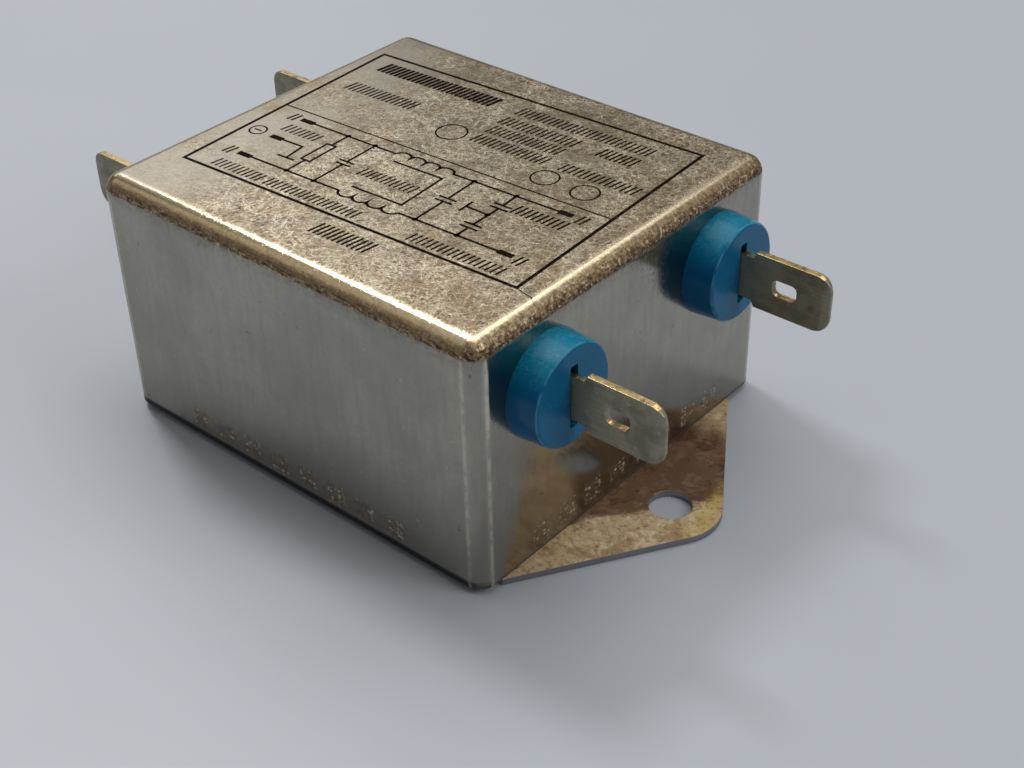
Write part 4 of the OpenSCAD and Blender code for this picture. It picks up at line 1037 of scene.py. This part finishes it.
class LINEFILTER_OT_choke(bpy.types.Operator):
    """Finish the ferrite core, its two windings, the divider and the insulating sheet"""
    bl_idname = "line_filter.choke"
    bl_label = "Choke"

    def execute(self, context):
        values = settings(context, "inside")
        dress("choke_core", coated_ferrite(values))
        wire = enamelled_copper(values)
        dress("choke_winding_l", wire)
        dress("choke_winding_n", wire)
        # Polypropylene, moulded: off-white and slightly waxy.
        dress("choke_divider", plain_moulding("polypropylene_moulded", values.divider_colour,
                                              values.divider_second_colour, 6.0, 0.45, 0.01))
        # Polyester film, rolled: straw yellow, smooth.
        dress("insulating_sheet", plain_moulding("polyester_film_rolled", values.sheet_colour,
                                                 values.sheet_second_colour, 9.0, 0.35, 0.004))
        return {"FINISHED"}


class LINEFILTER_OT_capacitors(bpy.types.Operator):
    """Finish the capacitors, the bleed resistor and the earth lead"""
    bl_idname = "line_filter.capacitors"
    bl_label = "Capacitors and resistor"

    def execute(self, context):
        values = settings(context, "inside")
        # Polybutylene box, moulded: yellow, fine spark-eroded skin.
        large = plain_moulding("polybutylene_moulded_yellow", values.x_colour, values.x_second_colour, 4.0, 0.5, 0.02)
        dress("x_capacitor_line", large)
        dress("x_capacitor_load", large)
        # Epoxy-filled box, moulded: blue-grey, fine spark-eroded skin.
        small = plain_moulding("polybutylene_moulded_blue", values.y_colour, values.y_second_colour, 4.0, 0.5, 0.02)
        dress("y_capacitor_l", small)
        dress("y_capacitor_n", small)
        dress("bleed_resistor", lacquered_resistor(values))
        dress("earth_lead", tinned_wire_steel(values))
        return {"FINISHED"}


class LINEFILTER_OT_resin(bpy.types.Operator):
    """Finish the potting resin"""
    bl_idname = "line_filter.resin"
    bl_label = "Resin"

    def execute(self, context):
        values = settings(context, "inside")
        # Filled epoxy, cast: nearly black, dull where the filler has settled.
        dress("potting_resin", plain_moulding("epoxy_cast_filled", values.resin_colour,
                                              values.resin_second_colour, 5.0, 0.55, 0.03))
        return {"FINISHED"}


class LINEFILTER_OT_stage(bpy.types.Operator):
    """Set up the floor, the room light, the key light and the camera"""
    bl_idname = "line_filter.stage"
    bl_label = "Stage"

    def execute(self, context):
        values = settings(context, "stage")
        scene = context.scene
        scene.view_settings.view_transform = "Standard"

        # Round floor: rings r = radius * s^3 and angles t, so that the faces are small near the filter.
        s, t = np.linspace(0.02, 1.0, 24), np.linspace(0, math.tau, 65)[:-1]
        r = values.floor_radius * s ** 3
        verts = np.stack([r[:, None] * np.cos(t), r[:, None] * np.sin(t), np.zeros((24, 64))], -1).reshape(-1, 3)
        i, j = np.meshgrid(np.arange(23), np.arange(64), indexing="ij")
        k = (j + 1) % 64
        faces = np.stack([i * 64 + j, (i + 1) * 64 + j, (i + 1) * 64 + k, i * 64 + k], -1).reshape(-1, 4)
        middle = np.stack([np.zeros(31, int), 2 * np.arange(31) + 1, 2 * np.arange(31) + 2,
                           2 * np.arange(31) + 3], -1)
        middle[-1, 3] = 63
        floor = new_piece("floor", verts, np.vstack([faces, middle]), coated_table(values), None, smooth=True)

        world = bpy.data.worlds.new("room")
        world.use_nodes = True
        world.node_tree.nodes.clear()
        light = add(world.node_tree, "ShaderNodeBackground",
                    {"Color": full(values.sky_colour), "Strength": values.sky_strength})
        add(world.node_tree, "ShaderNodeOutputWorld", {"Surface": light.outputs[0]})
        scene.world = world

        for name, towards, distance, width, height, power in LIGHTS:
            light = bpy.data.lights.new(name, "AREA")
            light.shape = "RECTANGLE"
            light.size = width * MM
            light.size_y = height * MM
            light.energy = power * values.light_level
            lamp = bpy.data.objects.new(name, light)
            towards = Vector(towards).normalized()
            lamp.location = towards * distance * MM
            lamp.rotation_euler = towards.to_track_quat("Z", "Y").to_euler()
            scene.collection.objects.link(lamp)

        a, e = values.camera_azimuth, values.camera_elevation
        back = Vector((math.sin(a) * math.cos(e), -math.cos(a) * math.cos(e), math.sin(e)))
        right = Vector((math.cos(a), math.sin(a), 0.0))
        up = back.cross(right)
        turn = Matrix.Rotation(values.camera_roll, 3, back)
        right, up = turn @ right, turn @ up
        aim = Vector((5.46, 5.09, 0.77)) * MM
        view = Matrix((right, up, back)).transposed().to_4x4()
        view.translation = aim + back * values.camera_distance
        lens = bpy.data.cameras.new("camera")
        lens.lens = values.camera_lens
        lens.sensor_width = 36.0
        lens.clip_start = 0.01
        lens.clip_end = 20.0
        camera = bpy.data.objects.new("camera", lens)
        camera.matrix_world = view
        scene.collection.objects.link(camera)
        scene.camera = camera
        return {"FINISHED"}


OPERATORS = (LINEFILTER_OT_stage, LINEFILTER_OT_can, LINEFILTER_OT_print, LINEFILTER_OT_plate,
             LINEFILTER_OT_bushings, LINEFILTER_OT_blades, LINEFILTER_OT_choke, LINEFILTER_OT_capacitors,
             LINEFILTER_OT_resin)


class LINEFILTER_PT_pieces(bpy.types.Panel):
    """Lists the steps that finish the filter"""
    bl_label = "Line filter"
    bl_idname = "LINEFILTER_PT_pieces"
    bl_space_type = "VIEW_3D"
    bl_region_type = "UI"
    bl_category = "Line filter"

    def draw(self, context):
        for step in OPERATORS:
            self.layout.operator(step.bl_idname)


def register():
    """Registers the settings, the steps and the panel."""
    for name, group in GROUPS.items():
        bpy.utils.register_class(group)
        setattr(bpy.types.Scene, "line_filter_" + name, bpy.props.PointerProperty(type=group))
    for step in OPERATORS:
        bpy.utils.register_class(step)
    bpy.utils.register_class(LINEFILTER_PT_pieces)


def unregister():
    """Takes the panel, the steps and the settings away again."""
    bpy.utils.unregister_class(LINEFILTER_PT_pieces)
    for step in reversed(OPERATORS):
        bpy.utils.unregister_class(step)
    for name, group in GROUPS.items():
        delattr(bpy.types.Scene, "line_filter_" + name)
        bpy.utils.unregister_class(group)


def main():
    register()
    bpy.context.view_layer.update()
    bpy.ops.line_filter.stage()
    bpy.ops.line_filter.can()
    bpy.ops.line_filter.print()
    bpy.ops.line_filter.plate()
    bpy.ops.line_filter.bushings()
    bpy.ops.line_filter.blades()
    bpy.ops.line_filter.choke()
    bpy.ops.line_filter.capacitors()
    bpy.ops.line_filter.resin()


if __name__ == "__main__":
    main()
